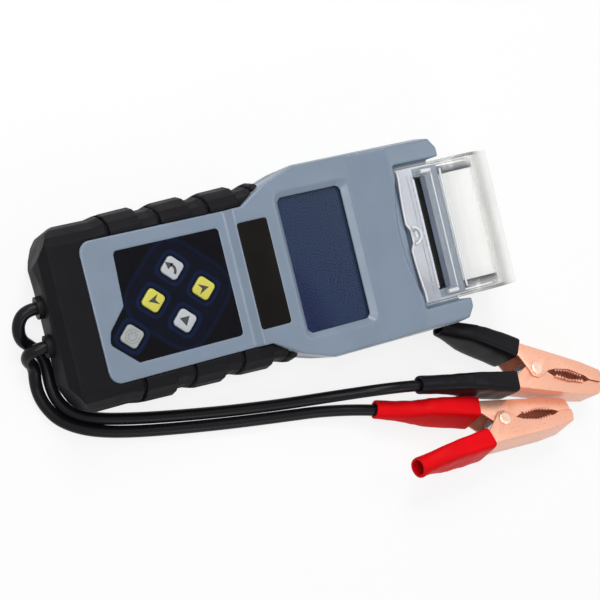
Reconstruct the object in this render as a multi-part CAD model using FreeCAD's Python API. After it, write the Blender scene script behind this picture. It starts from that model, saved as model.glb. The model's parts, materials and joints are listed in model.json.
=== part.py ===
"""Hand-held battery tester with a thermal printer, a clear paper cover and two clamp leads.

The tester lies on its back.  X runs from the rubber tail to the printer, Y across, Z up.
The origin is the bottom centre of the tester itself, without its leads.  Millimetres.
"""
import FreeCAD, Part
import math
import os

V = FreeCAD.Vector
os.makedirs("parts", exist_ok=True)

# ---------------------------------------------------------------- driving dimensions
WALL = 2.4                 # plastic shell wall
FIT = 0.3                  # clearance between loose neighbours
RUN = 0.05                 # radial clearance of a running fit

GRIP_LENGTH = 99.0         # tail face to the crease before the display
HEAD_LENGTH = 90.5         # crease to the printer deck
DECK_LENGTH = 22.3         # printer deck, up to the paper roll
GRIP_HALF = 40.5           # half width of the housing under the boot
PANEL_HALF = 34.5          # half width of the raised keypad panel
HEAD_HALF = 50.0
GRIP_Z = 38.0              # height of the keypad face
LEDGE_Z = 31.0             # shoulder that carries the boot
HEAD_Z = 41.0              # height of the display face
DECK_Z = 44.0              # height of the face at the printer
PART_Z = 18.0              # parting plane of the two housings
BELLY = 7.0                # bevel along the bottom edges of the grip

BOOT_TAIL = 6.0            # rubber thickness at the tail
BOOT_HALF = 47.2
BOOT_LIP = 20.3            # tail face to the raised panel
SCALLOPS = 3
SCALLOP_PITCH = 25.7
SCALLOP_STEP = 53.0        # tail face to the first step
SCALLOP_DEEP = 2.4         # height of a step
BOOT_GROOVE = 17.4         # groove before each step
GROOVE_WIDTH = 1.6
GROOVE_DEEP = 3.2
BOOT_PROUD = 0.4           # rim above the keypad face
PANEL_CORNER = 6.0

PAPER_WIDTH = 57.5
ROLL_RADIUS = 19.5
CORE_RADIUS = 8.0
CORE_BORE = 6.2
COVER_WALL = 1.6
COVER_SIDE = 7.75          # paper's edge to the cover's outside
ROLL_GAP = 1.5             # paper roll to cover
TROUGH_GAP = 0.3           # paper roll to its trough
FLOOR = 4.2                # plastic under the trough
BAY_GAP = 1.5              # cover to the bay's side walls
COVER_LIP = 1.6            # cover's front edge behind the bay's front wall
COVER_TOP = DECK_Z - 0.4
HINGE_DROP = 2.5           # cover pin below the parting plane
SHELF = 6.2                # deck past the front of the paper chamber
BOW = 1.8                  # cover's front edge past a straight line
BOW_HALF = 30.0
CRESCENT = 4.6             # finger hollow in front of the bay
CRESCENT_HALF = 31.0
CRESCENT_DEEP = 2.6
NOTCH_DEEP = 2.0
NOTCH_HALF = 7.0
LIFT_RADIUS = 4.2
SLOT_START = 10.9          # bay front to the paper slot
SLOT_WIDTH = 6.6
SLOT_SIDE = 0.85           # paper's edge to the slot's end

PLATEN_RADIUS = 5.0
PLATEN_DEPTH = 14.2        # deck face down to the platen axis
SHAFT_RADIUS = 1.5
GEAR_MODULE = 0.6
PLATEN_TEETH = 24
IDLER_TEETH = 30
PINION_TEETH = 12
GEAR_WIDTH = 3.0
TOOTH_ROOT = 0.38          # half widths of a tooth as shares of the pitch
TOOTH_TIP = 0.11
BUSH_RADIUS = 3.0
CHEEK_FRONT = 3.2          # cheek above the platen axis, in front of it
CHEEK_BACK = 5.0
BACK_PLATE_DROP = 2.8      # back plate and head below the platen axis
SINK_DROP = 3.8
SINK_POCKET_DROP = 1.8
MOTOR_RADIUS = 7.5
MOTOR_LENGTH = 20.0
FRAME_SIDE = 2.45          # paper's edge to the frame's outside
PLATE = 1.0

CELL_RADIUS = 7.25
CELL_LENGTH = 50.0
CELLS_ACROSS = 3
CELL_ROWS = 2
CELL_FLOOR = 3.4
DOOR_THICK = 2.0

KEY_SIDE = 9.4
KEY_PROUD = 0.7
KEY_TRAVEL = 0.6
KEY_PITCH = 13.0
KEYPAD_LENGTH = 54.0
KEYPAD_HALF = 26.9
OVERLAY_THICK = 0.6
BOARD_Z = 24.0
BOARD_THICK = 1.6
BOARD_HALF = 29.8

WINDOW_START = 25.5        # crease to the display window
WINDOW_LENGTH = 33.6
WINDOW_HALF = 33.6
LENS_THICK = 1.4
LABEL_START = 0.2
LABEL_LENGTH = 16.2
LABEL_HALF = 26.8
LABEL_THICK = 0.8

CORD = 6.2                 # lead diameter
CORD_EXIT_Y = 9.4
CORD_EXIT_Z = 20.0
GROMMET_PROUD = 1.6        # grommet past the tail face

CLAMP_WIDTH = 20.0
SHEET = 1.1                # copper-plated sheet
JAW = 45.5                 # rivet to nose
HANDLE = 41.0              # rivet to the end of the bare handle
HANDLE_ANGLE = 11.5        # each handle leaves the clamp's line by this angle
HANDLE_OFFSET = 5.0        # handle line from the clamp's line at the rivet
SLEEVE_START = 14.0
FREE_SLEEVE = 58.0         # rivet to the open end of the free sleeve
CORD_SLEEVE = 72.0         # rivet to the end of the sleeve on the lead
RIVET_RADIUS = 2.5
SKIN = 1.2                 # sleeve wall
CRIMP_LENGTH = 24.0
CRIMP_PROUD = 12.0         # crimp end past the bare handle

# ---------------------------------------------------------------- stations worked out
cover_half = PAPER_WIDTH / 2 + COVER_SIDE
bay_half = cover_half + BAY_GAP
slot_half = PAPER_WIDTH / 2 + SLOT_SIDE
frame_half = PAPER_WIDTH / 2 + FRAME_SIDE
cover_r = ROLL_RADIUS + ROLL_GAP + COVER_WALL
total = GRIP_LENGTH + HEAD_LENGTH + DECK_LENGTH + ROLL_RADIUS + ROLL_GAP + cover_r
tail_x = -total / 2
end_x = total / 2
shell_x = tail_x + BOOT_TAIL
grommet_x = tail_x - GROMMET_PROUD
panel_x = tail_x + BOOT_LIP
crease_x = tail_x + GRIP_LENGTH
bay_x = crease_x + HEAD_LENGTH
roll_x = end_x - cover_r
chamber_x = roll_x - ROLL_RADIUS - ROLL_GAP
arm_x = chamber_x + 5.5
roll_z = FLOOR + TROUGH_GAP + ROLL_RADIUS
deck_top = COVER_TOP - COVER_WALL - 1.6
deck_low = deck_top - WALL
slot_x = bay_x + SLOT_START
platen_x = slot_x + PLATEN_RADIUS + FIT + 0.4
platen_z = DECK_Z - PLATEN_DEPTH
hinge_r = 3.0
hinge_x = end_x - hinge_r
hinge_z = PART_Z - HINGE_DROP
cradle_half = cover_half - COVER_WALL - 0.5
board_top = BOARD_Z + BOARD_THICK
keypad_end = crease_x - 8.8
keypad_x = keypad_end - KEYPAD_LENGTH
pad_x = keypad_end - 27.5     # centre of the four arrow keys


# ---------------------------------------------------------------- helpers
def box(x0, x1, y0, y1, z0, z1):
    """Block between two corners."""
    return Part.makeBox(x1 - x0, y1 - y0, z1 - z0, V(x0, y0, z0))


def sym_box(x0, x1, half, z0, z1):
    """Block that is symmetrical about the middle plane."""
    return box(x0, x1, -half, half, z0, z1)


def rod(x, z, radius, y0, y1):
    """Cylinder along Y."""
    return Part.makeCylinder(radius, y1 - y0, V(x, y0, z), V(0, 1, 0))


def post(x, y, radius, z0, z1):
    """Cylinder along Z."""
    return Part.makeCylinder(radius, z1 - z0, V(x, y, z0), V(0, 0, 1))


def corner_wire(points, radii):
    """Closed wire through 3-D points, each corner rounded by its own radius."""
    edges = []
    starts = []
    ends = []
    count = len(points)
    for i in range(count):
        here = points[i]
        back = points[i - 1] - here
        ahead = points[(i + 1) % count] - here
        radius = radii[i]
        if radius <= 0:
            starts.append(here)
            ends.append(here)
            continue
        angle = back.getAngle(ahead)
        cut = radius / math.tan(angle / 2)
        a = here + V(back).normalize() * cut
        b = here + V(ahead).normalize() * cut
        middle = (V(back).normalize() + V(ahead).normalize()).normalize()
        m = here + middle * (radius / math.sin(angle / 2) - radius)
        starts.append(a)
        ends.append(b)
        edges.append(Part.Arc(a, m, b).toShape())
    for i in range(count):
        a = ends[i]
        b = starts[(i + 1) % count]
        if a.distanceToPoint(b) > 1e-6:
            edges.append(Part.LineSegment(a, b).toShape())
    return Part.Wire(Part.__sortEdges__(edges))


def as_radii(points, radius):
    """One radius for every corner, or the list as it is."""
    if isinstance(radius, (int, float)):
        return [radius] * len(points)
    return radius


def plan(points, z0, z1, radius=0.0):
    """Prism of a plan outline (x, y) between two heights."""
    wire = corner_wire([V(x, y, z0) for x, y in points], as_radii(points, radius))
    return Part.Face(wire).extrude(V(0, 0, z1 - z0))


def side(points, y0, y1, radius=0.0):
    """Prism of a side outline (x, z) between two values of y."""
    wire = corner_wire([V(x, y0, z) for x, z in points], as_radii(points, radius))
    return Part.Face(wire).extrude(V(0, y1 - y0, 0))


def section(points, x0, x1, radius=0.0):
    """Prism of a cross-section (y, z) between two values of x."""
    wire = corner_wire([V(x0, y, z) for y, z in points], as_radii(points, radius))
    return Part.Face(wire).extrude(V(x1 - x0, 0, 0))


def mirrored(points):
    """Close a half outline, given along +Y, with its mirror image."""
    return points + [(x, -y) for x, y in reversed(points)]


def mirror_section(points):
    """Close a half cross-section, given on +Y, with its mirror image."""
    return points + [(-y, z) for y, z in reversed(points)]


def inset(points, t):
    """Offset a closed clockwise or anticlockwise outline inwards by t."""
    area = sum(points[i - 1][0] * p[1] - p[0] * points[i - 1][1] for i, p in enumerate(points))
    turn = 1.0 if area > 0 else -1.0
    lines = []
    for i, p in enumerate(points):
        q = points[(i + 1) % len(points)]
        dx = q[0] - p[0]
        dy = q[1] - p[1]
        size = math.hypot(dx, dy)
        nx = -dy / size * turn
        ny = dx / size * turn
        lines.append((p[0] + nx * t, p[1] + ny * t, dx, dy))
    result = []
    for i in range(len(points)):
        x1, y1, dx1, dy1 = lines[i - 1]
        x2, y2, dx2, dy2 = lines[i]
        cross = dx1 * dy2 - dy1 * dx2
        s = ((x2 - x1) * dy2 - (y2 - y1) * dx2) / cross
        result.append((x1 + dx1 * s, y1 + dy1 * s))
    return result


def fuse(first, *others):
    """Union of several shapes, with split faces joined."""
    return first.fuse(list(others)).removeSplitter()


def cut(first, *others):
    """A shape less several others."""
    return first.cut(list(others))


def save(name, *solids):
    """Write one node: a single solid or a group of separate solids."""
    found = []
    for shape in solids:
        found.extend(shape.Solids)
    result = found[0] if len(found) == 1 else Part.makeCompound(found)
    result.exportStep("parts/" + name + ".step")
    print(name, len(found), "solid(s), volume", round(sum(s.Volume for s in found), 1))
    return result


# ---------------------------------------------------------------- housing
def grip_outline():
    """Plan of the lower housing under the boot."""
    return mirrored([(shell_x, 27.0), (shell_x + 8, GRIP_HALF - 4), (shell_x + 15, GRIP_HALF),
                     (crease_x + 10, GRIP_HALF)])


def panel_outline():
    """Plan of the raised keypad panel."""
    return mirrored([(panel_x, PANEL_HALF), (crease_x + 12, PANEL_HALF)])


def head_outline():
    """Plan of the wide head with its two sloping shoulders and arm ends."""
    return mirrored([(crease_x + 4.5, PANEL_HALF), (crease_x + 19.5, HEAD_HALF - 6.5),
                     (crease_x + 38.5, HEAD_HALF), (arm_x - 5, HEAD_HALF), (arm_x, HEAD_HALF - 7)])


def face_profile(low, drop):
    """Side outline of the upper faces, lowered by drop, down to low."""
    return [(tail_x, low), (tail_x, GRIP_Z - drop), (crease_x - 4.5, GRIP_Z - drop),
            (crease_x, HEAD_Z - drop), (bay_x - 24, HEAD_Z - drop), (bay_x - 2, DECK_Z - drop),
            (end_x, DECK_Z - drop), (end_x, low)]


def housing(t):
    """Outer form of the closed housing, every wall moved inwards by t."""
    under = side(face_profile(t, t), -60, 60)
    grip = plan(inset(grip_outline(), t), t, LEDGE_Z - t, 3.0)
    belly = mirror_section([(GRIP_HALF - BELLY - t, t), (GRIP_HALF - t, t + BELLY), (GRIP_HALF - t, LEDGE_Z + 9)])
    heel = [(shell_x + BELLY + t, t), (shell_x + t, t + BELLY), (shell_x + t, DECK_Z + 9), (end_x, DECK_Z + 9),
            (end_x, t)]
    grip = grip.common(section(belly, tail_x, end_x)).common(side(heel, -60, 60))
    panel = plan(inset(panel_outline(), t), t, DECK_Z + 5, PANEL_CORNER - t)
    head = plan(inset(head_outline(), t), t, DECK_Z + 5, 2.5)
    edge = mirror_section([(HEAD_HALF - 1.8 - t, t), (HEAD_HALF - t, 4.0), (HEAD_HALF - t, LEDGE_Z + 3),
                           (HEAD_HALF - 3.0 - t, DECK_Z + 6)])
    head = head.common(section(edge, tail_x, end_x))
    return fuse(grip, panel, head).common(under)


outer = housing(0)
cavity = housing(WALL)
chamber_wall = chamber_x - WALL
cavity = cut(cavity, sym_box(bay_x - WALL, end_x, bay_half + WALL, deck_low, DECK_Z + 9),
             sym_box(chamber_wall, end_x, bay_half + WALL, -1, DECK_Z + 9))
shell = cut(outer, cavity)
above = sym_box(tail_x - 1, end_x + 1, 60, PART_Z, 60)
below = sym_box(tail_x - 1, end_x + 1, 60, -1, PART_Z)

# screw posts: places shared by both housings
screws = [(shell_x + 16, GRIP_HALF - BELLY - 3.2, LEDGE_Z), (crease_x + 11, PANEL_HALF - 1.0, HEAD_Z),
          (bay_x - 9, HEAD_HALF - 7.0, HEAD_Z + 1.6)]
screw_places = [(x, s * y) for x, y, roof in screws for s in (1, -1)]

# ---- front housing
front = shell.common(above)
recess = sym_box(bay_x, end_x, bay_half, deck_top, 60)
chamber = cut(sym_box(chamber_x, end_x, bay_half, 0, 60),
              sym_box(chamber_x, chamber_x + SHELF, cradle_half, deck_low, deck_top))
slot_cut = sym_box(slot_x - 1.1, slot_x + SLOT_WIDTH + 1.2, slot_half + 0.5, deck_low - 1, deck_top + 1)
throat = sym_box(chamber_wall - 1, chamber_x + 1, bay_half - 2, PART_Z - 1, deck_low)
pad = outer.common(sym_box(bay_x - CRESCENT - 4, bay_x, CRESCENT_HALF + 3, DECK_Z - CRESCENT_DEEP - 2, DECK_Z + 9))


def bulge(x, depth, half, z0, z1):
    """Disc whose edge passes depth beyond x in the middle and meets x at each half width."""
    radius = (half * half + depth * depth) / (2 * depth)
    return post(x - depth + radius, 0, radius, z0, z1)


scoop = bulge(bay_x, CRESCENT, CRESCENT_HALF, DECK_Z - CRESCENT_DEEP, DECK_Z + 9)
scoop = scoop.common(sym_box(bay_x - 2 * CRESCENT, bay_x + 1, CRESCENT_HALF + 1, deck_top, DECK_Z + 9))
bezel_x = crease_x + WINDOW_START
bezel_end = bezel_x + WINDOW_LENGTH


def rect_wire(x0, x1, half, z, radius):
    """Rounded rectangle wire at one height."""
    return corner_wire([V(x0, -half, z), V(x1, -half, z), V(x1, half, z), V(x0, half, z)], [radius] * 4)


def pocket(x0, x1, half, z0, z1, radius):
    """Rounded pocket between two heights."""
    return plan([(x0, -half), (x1, -half), (x1, half), (x0, half)], z0, z1, radius)


bezel = Part.makeLoft([rect_wire(bezel_x, bezel_end, WINDOW_HALF, HEAD_Z - WALL - 0.01, 2.0),
                       rect_wire(bezel_x - 3, bezel_end + 5.5, WINDOW_HALF + 4, HEAD_Z + 0.01, 4.0)],
                      True, True)
label_x = crease_x + LABEL_START
label_cut = pocket(label_x - 0.1, label_x + LABEL_LENGTH + 0.1, LABEL_HALF + 0.1,
                   HEAD_Z - LABEL_THICK + 0.2, HEAD_Z + 1, 1.6)


def overlay_outline(grow):
    """Keypad overlay: a rectangle with a lobe round the power key."""
    tail = keypad_x
    points = [(keypad_end, -KEYPAD_HALF), (keypad_end, KEYPAD_HALF), (tail, KEYPAD_HALF),
              (tail - 1.2, 0.5), (tail - 10.0, -9.5), (tail - 11.8, -15.5), (tail, -KEYPAD_HALF)]
    return inset(points, -grow)


overlay_radii = [2.0, 2.0, 2.0, 3.0, 3.0, 3.0, 0.6]
overlay_cut = plan(overlay_outline(0.1), GRIP_Z - OVERLAY_THICK, GRIP_Z + 1, overlay_radii)
key_places = {
    "key_back": (pad_x, KEY_PITCH),
    "key_enter": (pad_x, -KEY_PITCH),
    "key_down": (pad_x - KEY_PITCH, 0.0),
    "key_up": (pad_x + KEY_PITCH, 0.0),
    "key_power": (pad_x - 27.3, -KEY_PITCH - 1.1),
}


def diamond(x, y, side_length, z0, z1, radius):
    """Square prism standing on its corner in plan, with rounded corners."""
    d = side_length / math.sqrt(2)
    return plan([(x - d, y), (x, y - d), (x + d, y), (x, y + d)], z0, z1, radius)


key_holes = [diamond(x, y, KEY_SIDE + 2 * FIT, BOARD_Z, GRIP_Z + 2, 2.3) for x, y in key_places.values()]
front = cut(fuse(front, pad), recess, chamber, slot_cut, throat, scoop, bezel, label_cut, overlay_cut, *key_holes)
front_posts = []
for x, y, roof in screws:
    for s in (1, -1):
        hollow = post(x, s * y, 1.2, PART_Z - 1, PART_Z + 10.2)
        front_posts.append(cut(post(x, s * y, 3.2, PART_Z, roof - WALL + 0.5), hollow))
for x in (panel_x + 16, keypad_end + 2.0):
    for s in (1, -1):
        front_posts.append(post(x, s * (BOARD_HALF - 2.5), 2.0, board_top, GRIP_Z - WALL + 0.4))
cord_bores = [Part.makeCylinder(CORD / 2 + 2.4, 30, V(tail_x - 5, s * CORD_EXIT_Y, CORD_EXIT_Z), V(1, 0, 0))
              for s in (1, -1)]
front = fuse(front, *front_posts)
front = cut(front, *cord_bores)
save("front_housing", front)

# ---- rear housing with the paper cradle and the battery box
rear = shell.common(below)
cradle_top = hinge_z + hinge_r
cradle = side([(chamber_wall, 0), (end_x - 1.5, 0), (end_x, 2.0), (end_x, hinge_z), (hinge_x, cradle_top),
               (chamber_x + 4.0, cradle_top), (chamber_x + 2.5, PART_Z), (chamber_wall, PART_Z)],
              -cradle_half, cradle_half)
corner = rod(hinge_x, hinge_z, hinge_r, -cradle_half, cradle_half)
cradle = fuse(cut(cradle, box(hinge_x, end_x + 1, -60, 60, hinge_z, 60)), corner)
trough = rod(roll_x, roll_z, ROLL_RADIUS + TROUGH_GAP, -PAPER_WIDTH / 2 - 1.2, PAPER_WIDTH / 2 + 1.2)
pin_bore = rod(hinge_x, hinge_z, SHAFT_RADIUS + RUN, -60, 60)
chamber_low = box(chamber_x, end_x + 1, -bay_half, bay_half, -1, 60)
rear = cut(rear, chamber_low)
rear = fuse(rear, cradle)
door_x0 = tail_x + 17.0
cells_x0 = door_x0 + 6.0
cells_x1 = cells_x0 + CELL_ROWS * (CELL_LENGTH + 0.6) + 3.0
door_x1 = cells_x1 + 3.0
bay_y = CELLS_ACROSS * (CELL_RADIUS * 2 + 0.3) / 2 + 0.4
box_roof = CELL_FLOOR + CELL_RADIUS * 2 + 0.6
battery_box = cut(sym_box(cells_x0 - 1.6, cells_x1 + 1.6, bay_y + 1.6, 0.5, box_roof + 1.6),
                  sym_box(cells_x0, cells_x1, bay_y, -1, box_roof))
door_gap = 0.2
door_cut = pocket(door_x0 - door_gap, door_x1 + door_gap, bay_y + 3 + door_gap, -1, DOOR_THICK + 0.05, 3.0)
cell_mouth = sym_box(cells_x0, cells_x1, bay_y, -1, WALL + 1)
rear = cut(fuse(rear, battery_box), cell_mouth, door_cut, trough, pin_bore, *cord_bores)
rear_posts = []
for x, y in screw_places:
    rear_posts.append(post(x, y, 3.2, 0.5, PART_Z))
rear = fuse(rear, *rear_posts)
screw_holes = [post(x, y, 1.6, -1, PART_Z + 1) for x, y in screw_places]
head_holes = [post(x, y, 2.9, -1, 3.0) for x, y in screw_places]
door_screw_x = door_x0 + 2.6
rear = cut(rear, post(door_screw_x, 0, 1.3, -1, 9), *screw_holes, *head_holes)
for x in (chamber_x - 16, chamber_x - 5):
    for s in (1, -1):
        rear = fuse(rear, post(x, s * (frame_half - 2.0), 2.0, WALL - 0.4, PART_Z + 0.4))
save("rear_housing", rear)

# ---- rubber boot round the grip
def boot_wire(x, deep):
    """Outline across the boot at one place, lowered by deep."""
    half = [(BOOT_HALF - BELLY - 2, 0.9), (BOOT_HALF - 3, 8), (BOOT_HALF, 15), (BOOT_HALF, 22),
            (BOOT_HALF - 2, 30), (BOOT_HALF - 6, 36.4), (BOOT_HALF - 10, GRIP_Z + BOOT_PROUD + 0.1)]
    points = [V(x, y, z) for y, z in mirror_section([(y - deep, z) for y, z in half])]
    return Part.makePolygon(points + points[:1])


step_x = tail_x + SCALLOP_STEP
steps = [(tail_x - 1.0, 1.9, step_x - 23.0, 1.9), (step_x - 23.0, 1.9, step_x - 17.0, 0.6),
         (step_x - 17.0, 0.6, step_x, 0.0)]
for i in range(SCALLOPS):
    step_x = tail_x + SCALLOP_STEP + i * SCALLOP_PITCH
    steps += [(step_x, SCALLOP_DEEP, step_x + 5.5, SCALLOP_DEEP),
              (step_x + 5.5, SCALLOP_DEEP, step_x + 11.0, 0.5),
              (step_x + 11.0, 0.5, step_x + SCALLOP_PITCH, 0.0)]
boot_end = tail_x + SCALLOP_STEP + (SCALLOPS - 1) * SCALLOP_PITCH + 14.0
scallops = []
for x0, t0, x1, t1 in steps:
    scallops.append(Part.makeLoft([boot_wire(x0, t0), boot_wire(x1, t1)], True, True))
boot_half = [(tail_x + 1.0, 18.0), (tail_x, 28.0), (tail_x + 8.0, 42.0), (tail_x + 17.5, BOOT_HALF),
             (boot_end - 2.0, BOOT_HALF), (boot_end, BOOT_HALF - 2.4)]
boot_form = plan(mirrored(boot_half), 1.0, GRIP_Z + BOOT_PROUD)
boot_length = [(tail_x + BELLY + 1, 0.9), (tail_x + 2.5, 8), (tail_x - 0.1, 15), (tail_x - 0.1, 24),
               (tail_x + 1.6, 33),
               (tail_x + 5.5, GRIP_Z + 0.5), (end_x, GRIP_Z + 0.5), (end_x, 0.9)]
boot = boot_form.common(fuse(*scallops)).common(side(boot_length, -60, 60))
boot = cut(boot, outer, *cord_bores)
boot = cut(boot, plan(inset(panel_outline(), -0.1), LEDGE_Z, 60, PANEL_CORNER),
           sym_box(shell_x + BELLY, end_x, GRIP_HALF - BELLY, -1, LEDGE_Z - 5))
grooves = []
for i in range(SCALLOPS + 1):
    groove_x = tail_x + SCALLOP_STEP + i * SCALLOP_PITCH - BOOT_GROOVE
    if groove_x + GROOVE_WIDTH < boot_end - 2.0:
        ends = [boot_wire(groove_x - 1.0, GROOVE_DEEP), boot_wire(groove_x + GROOVE_WIDTH + 1.0, GROOVE_DEEP)]
        core = Part.makeLoft(ends, True, True)
        ring = sym_box(groove_x, groove_x + GROOVE_WIDTH, 60, LEDGE_Z - 11.0, 60)
        flat = sym_box(groove_x - 1.0, groove_x + GROOVE_WIDTH + 1.0, 60, -1, GRIP_Z - GROOVE_DEEP + 0.8)
        grooves.append(cut(ring, core.common(flat)))
boot = cut(boot, *grooves)
boot = max(boot.Solids, key=lambda item: item.Volume)
save("rubber_boot", boot)

# ---- fasteners of the housing
housing_screws = []
for x, y in screw_places:
    housing_screws.append(fuse(post(x, y, 2.6, 1.2, 3.0), post(x, y, 1.15, 3.0, PART_Z + 10)))
save("housing_screws", *housing_screws)

# ---------------------------------------------------------------- keypad, label and display
overlay = plan(overlay_outline(0), GRIP_Z - OVERLAY_THICK, GRIP_Z + 0.1, overlay_radii)
overlay = cut(overlay, *key_holes)
save("keypad_overlay", overlay)
under_face = GRIP_Z - OVERLAY_THICK - (WALL - OVERLAY_THICK)
key_low = under_face - 1.8
for name, (x, y) in key_places.items():
    cap = diamond(x, y, KEY_SIDE, key_low, GRIP_Z + KEY_PROUD, 2.0)
    flange = diamond(x, y, KEY_SIDE + 2.0, key_low, under_face - 0.1, 2.0)
    save(name, fuse(cap, flange))
switch_top = key_low - KEY_TRAVEL - 0.08
switches = []
for x, y in key_places.values():
    body = box(x - 3, x + 3, y - 3, y + 3, board_top, board_top + 4.0)
    switches.append(fuse(body, post(x, y, 1.7, board_top + 4.0, switch_top)))
save("key_switches", *switches)
board_x0 = keypad_x - 8.0
board_x1 = crease_x + 40.0
board = pocket(board_x0, board_x1, BOARD_HALF, BOARD_Z, board_top, 3.0)
save("main_board", board)
label = pocket(label_x, label_x + LABEL_LENGTH, LABEL_HALF, HEAD_Z - LABEL_THICK + 0.2, HEAD_Z + 0.2, 1.5)
save("label_plate", label)
lens = pocket(bezel_x - 2.5, bezel_end + 2.5, WINDOW_HALF + 2.5, HEAD_Z - WALL - LENS_THICK, HEAD_Z - WALL, 2.0)
save("display_lens", lens)
display_low = board_top + 4.6
display_glass = HEAD_Z - WALL - LENS_THICK - 0.2
display = fuse(sym_box(bezel_x - 6, bezel_end + 5, WINDOW_HALF + 6, display_low, display_low + 1.6),
               sym_box(bezel_x - 2, bezel_end + 2, WINDOW_HALF + 1.5, display_low + 1.6, display_glass))
save("display_module", display)
pins = [box(bezel_x - 5.2 + 0.01, bezel_x - 4.4, -20 + 2.54 * i, -19.3 + 2.54 * i, board_top, display_low)
        for i in range(16)]
header = box(bezel_x - 5.9, bezel_x - 3.7, -21.0, 21.0, board_top, board_top + 2.5)
header = cut(header, *pins)
save("display_header", fuse(header, *pins))
buzzer = cut(post(crease_x + 6.0, 24.0, 5.0, board_top, board_top + 6.0),
             post(crease_x + 6.0, 24.0, 1.0, board_top + 4.5, board_top + 7.0))
save("buzzer", buzzer)

# ---------------------------------------------------------------- batteries
cells = []
for row in range(CELL_ROWS):
    x0 = cells_x0 + 1.5 + row * (CELL_LENGTH + 0.6)
    for i in range(CELLS_ACROSS):
        y = (i - (CELLS_ACROSS - 1) / 2) * (CELL_RADIUS * 2 + 0.3)
        z = CELL_FLOOR + CELL_RADIUS
        can = Part.makeCylinder(CELL_RADIUS, CELL_LENGTH - 1.5, V(x0, y, z), V(1, 0, 0))
        nub = Part.makeCylinder(2.7, 1.5, V(x0 + CELL_LENGTH - 1.5, y, z), V(1, 0, 0))
        cells.append(fuse(can, nub))
save("battery_cells", *cells)
contacts = []
for i in range(CELLS_ACROSS):
    y = (i - (CELLS_ACROSS - 1) / 2) * (CELL_RADIUS * 2 + 0.3)
    z = CELL_FLOOR + CELL_RADIUS
    plate = box(cells_x0 + 0.05, cells_x0 + 0.55, y - 5, y + 5, z - 5, z + 5)
    spring_leaf = Part.makeCone(3.6, 1.8, 0.85, V(cells_x0 + 0.55, y, z), V(1, 0, 0))
    contacts.append(fuse(plate, spring_leaf))
    contacts.append(box(cells_x1 - 0.55, cells_x1 - 0.05, y - 5, y + 5, z - 5, z + 5))
save("battery_contacts", *contacts)
door = pocket(door_x0, door_x1, bay_y + 3, 0.0, DOOR_THICK, 3.0)
ribs = [sym_box(cells_x0 + 6 + i * 22.0, cells_x0 + 7.2 + i * 22.0, bay_y - 3, DOOR_THICK, CELL_FLOOR - 0.3)
        for i in range(5)]
door = cut(fuse(door, *ribs), post(door_screw_x, 0, 1.35, -1, 9), post(door_screw_x, 0, 2.3, -1, 1.2))
save("battery_door", door)
save("battery_door_screw", fuse(post(door_screw_x, 0, 2.2, 0.1, 1.2), post(door_screw_x, 0, 1.25, 1.2, 6.5)))

# ---------------------------------------------------------------- printer
frame_x0 = platen_x - 37.0
frame_x1 = platen_x + PLATEN_RADIUS + 1.0
idler_dist = (PLATEN_TEETH + IDLER_TEETH) * GEAR_MODULE / 2
pinion_dist = (IDLER_TEETH + PINION_TEETH) * GEAR_MODULE / 2
idler_turn = math.radians(191.0)
pinion_turn = math.radians(187.0)
idler_x = platen_x + idler_dist * math.cos(idler_turn)
idler_z = platen_z + idler_dist * math.sin(idler_turn)
pinion_x = idler_x + pinion_dist * math.cos(pinion_turn)
pinion_z = idler_z + pinion_dist * math.sin(pinion_turn)
gear_y = frame_half + 0.5

plates = []
for s in (1, -1):
    y0 = frame_half - PLATE if s > 0 else -frame_half
    cheek = side([(frame_x0, PART_Z + 0.7), (frame_x1, PART_Z + 0.7), (frame_x1, platen_z + CHEEK_BACK),
                  (frame_x1 - 3, deck_low - 0.1), (frame_x0 + 8, deck_low - 0.1), (frame_x0, platen_z + CHEEK_FRONT)],
                 y0, y0 + PLATE)
    cheek = cut(cheek, rod(platen_x, platen_z, BUSH_RADIUS, y0 - 1, y0 + 2))
    if s > 0:
        cheek = cut(cheek, rod(pinion_x, pinion_z, 2.2, y0 - 1, y0 + 2))
        cheek = fuse(cheek, rod(idler_x, idler_z, 1.0, frame_half, gear_y + GEAR_WIDTH + 0.6))
    plates.append(cheek)
base = sym_box(pinion_x + MOTOR_RADIUS + FIT, frame_x1 - 1, frame_half, PART_Z + 0.5, PART_Z + 1.5)
back_plate = sym_box(platen_x - PLATEN_RADIUS - 6.0, platen_x - PLATEN_RADIUS - 5.0, frame_half, PART_Z + 1.0,
                     platen_z - BACK_PLATE_DROP)
save("printer_frame", fuse(base, back_plate, *plates))
bushes = []
for s in (1, -1):
    y0 = frame_half - PLATE if s > 0 else -frame_half
    bushes.append(cut(rod(platen_x, platen_z, BUSH_RADIUS, y0, y0 + PLATE),
                      rod(platen_x, platen_z, SHAFT_RADIUS + RUN, y0 - 1, y0 + 2)))
save("platen_bushes", *bushes)
head_x1 = platen_x - PLATEN_RADIUS - FIT - 0.35
inner_half = frame_half - PLATE
sink = sym_box(head_x1 - 2.6, head_x1 - 0.6, inner_half, platen_z - SINK_DROP, deck_low - 0.3)
sink = cut(sink, sym_box(head_x1 - 3.0, head_x1 - 1.6, inner_half - 4, platen_z - SINK_POCKET_DROP,
                         deck_low - 3))
save("print_head_sink", sink)
save("print_head", sym_box(head_x1 - 0.6, head_x1, inner_half - 0.5, platen_z - BACK_PLATE_DROP, deck_low - 1.0))


def tear_outline():
    """Saw-toothed strip, seen along X."""
    teeth = 36
    half = slot_half - 0.4
    low = deck_low - 0.2
    top = COVER_TOP - 0.9
    points = [(-half, low), (half, low), (half, top)]
    pitch = 2 * half / teeth
    for i in range(teeth):
        y = half - i * pitch
        points += [(y - pitch / 2, top - 0.9), (y - pitch, top)]
    return points


tear_x = slot_x - 1.0
save("tear_bar", section(tear_outline(), tear_x, tear_x + 0.8))


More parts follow.
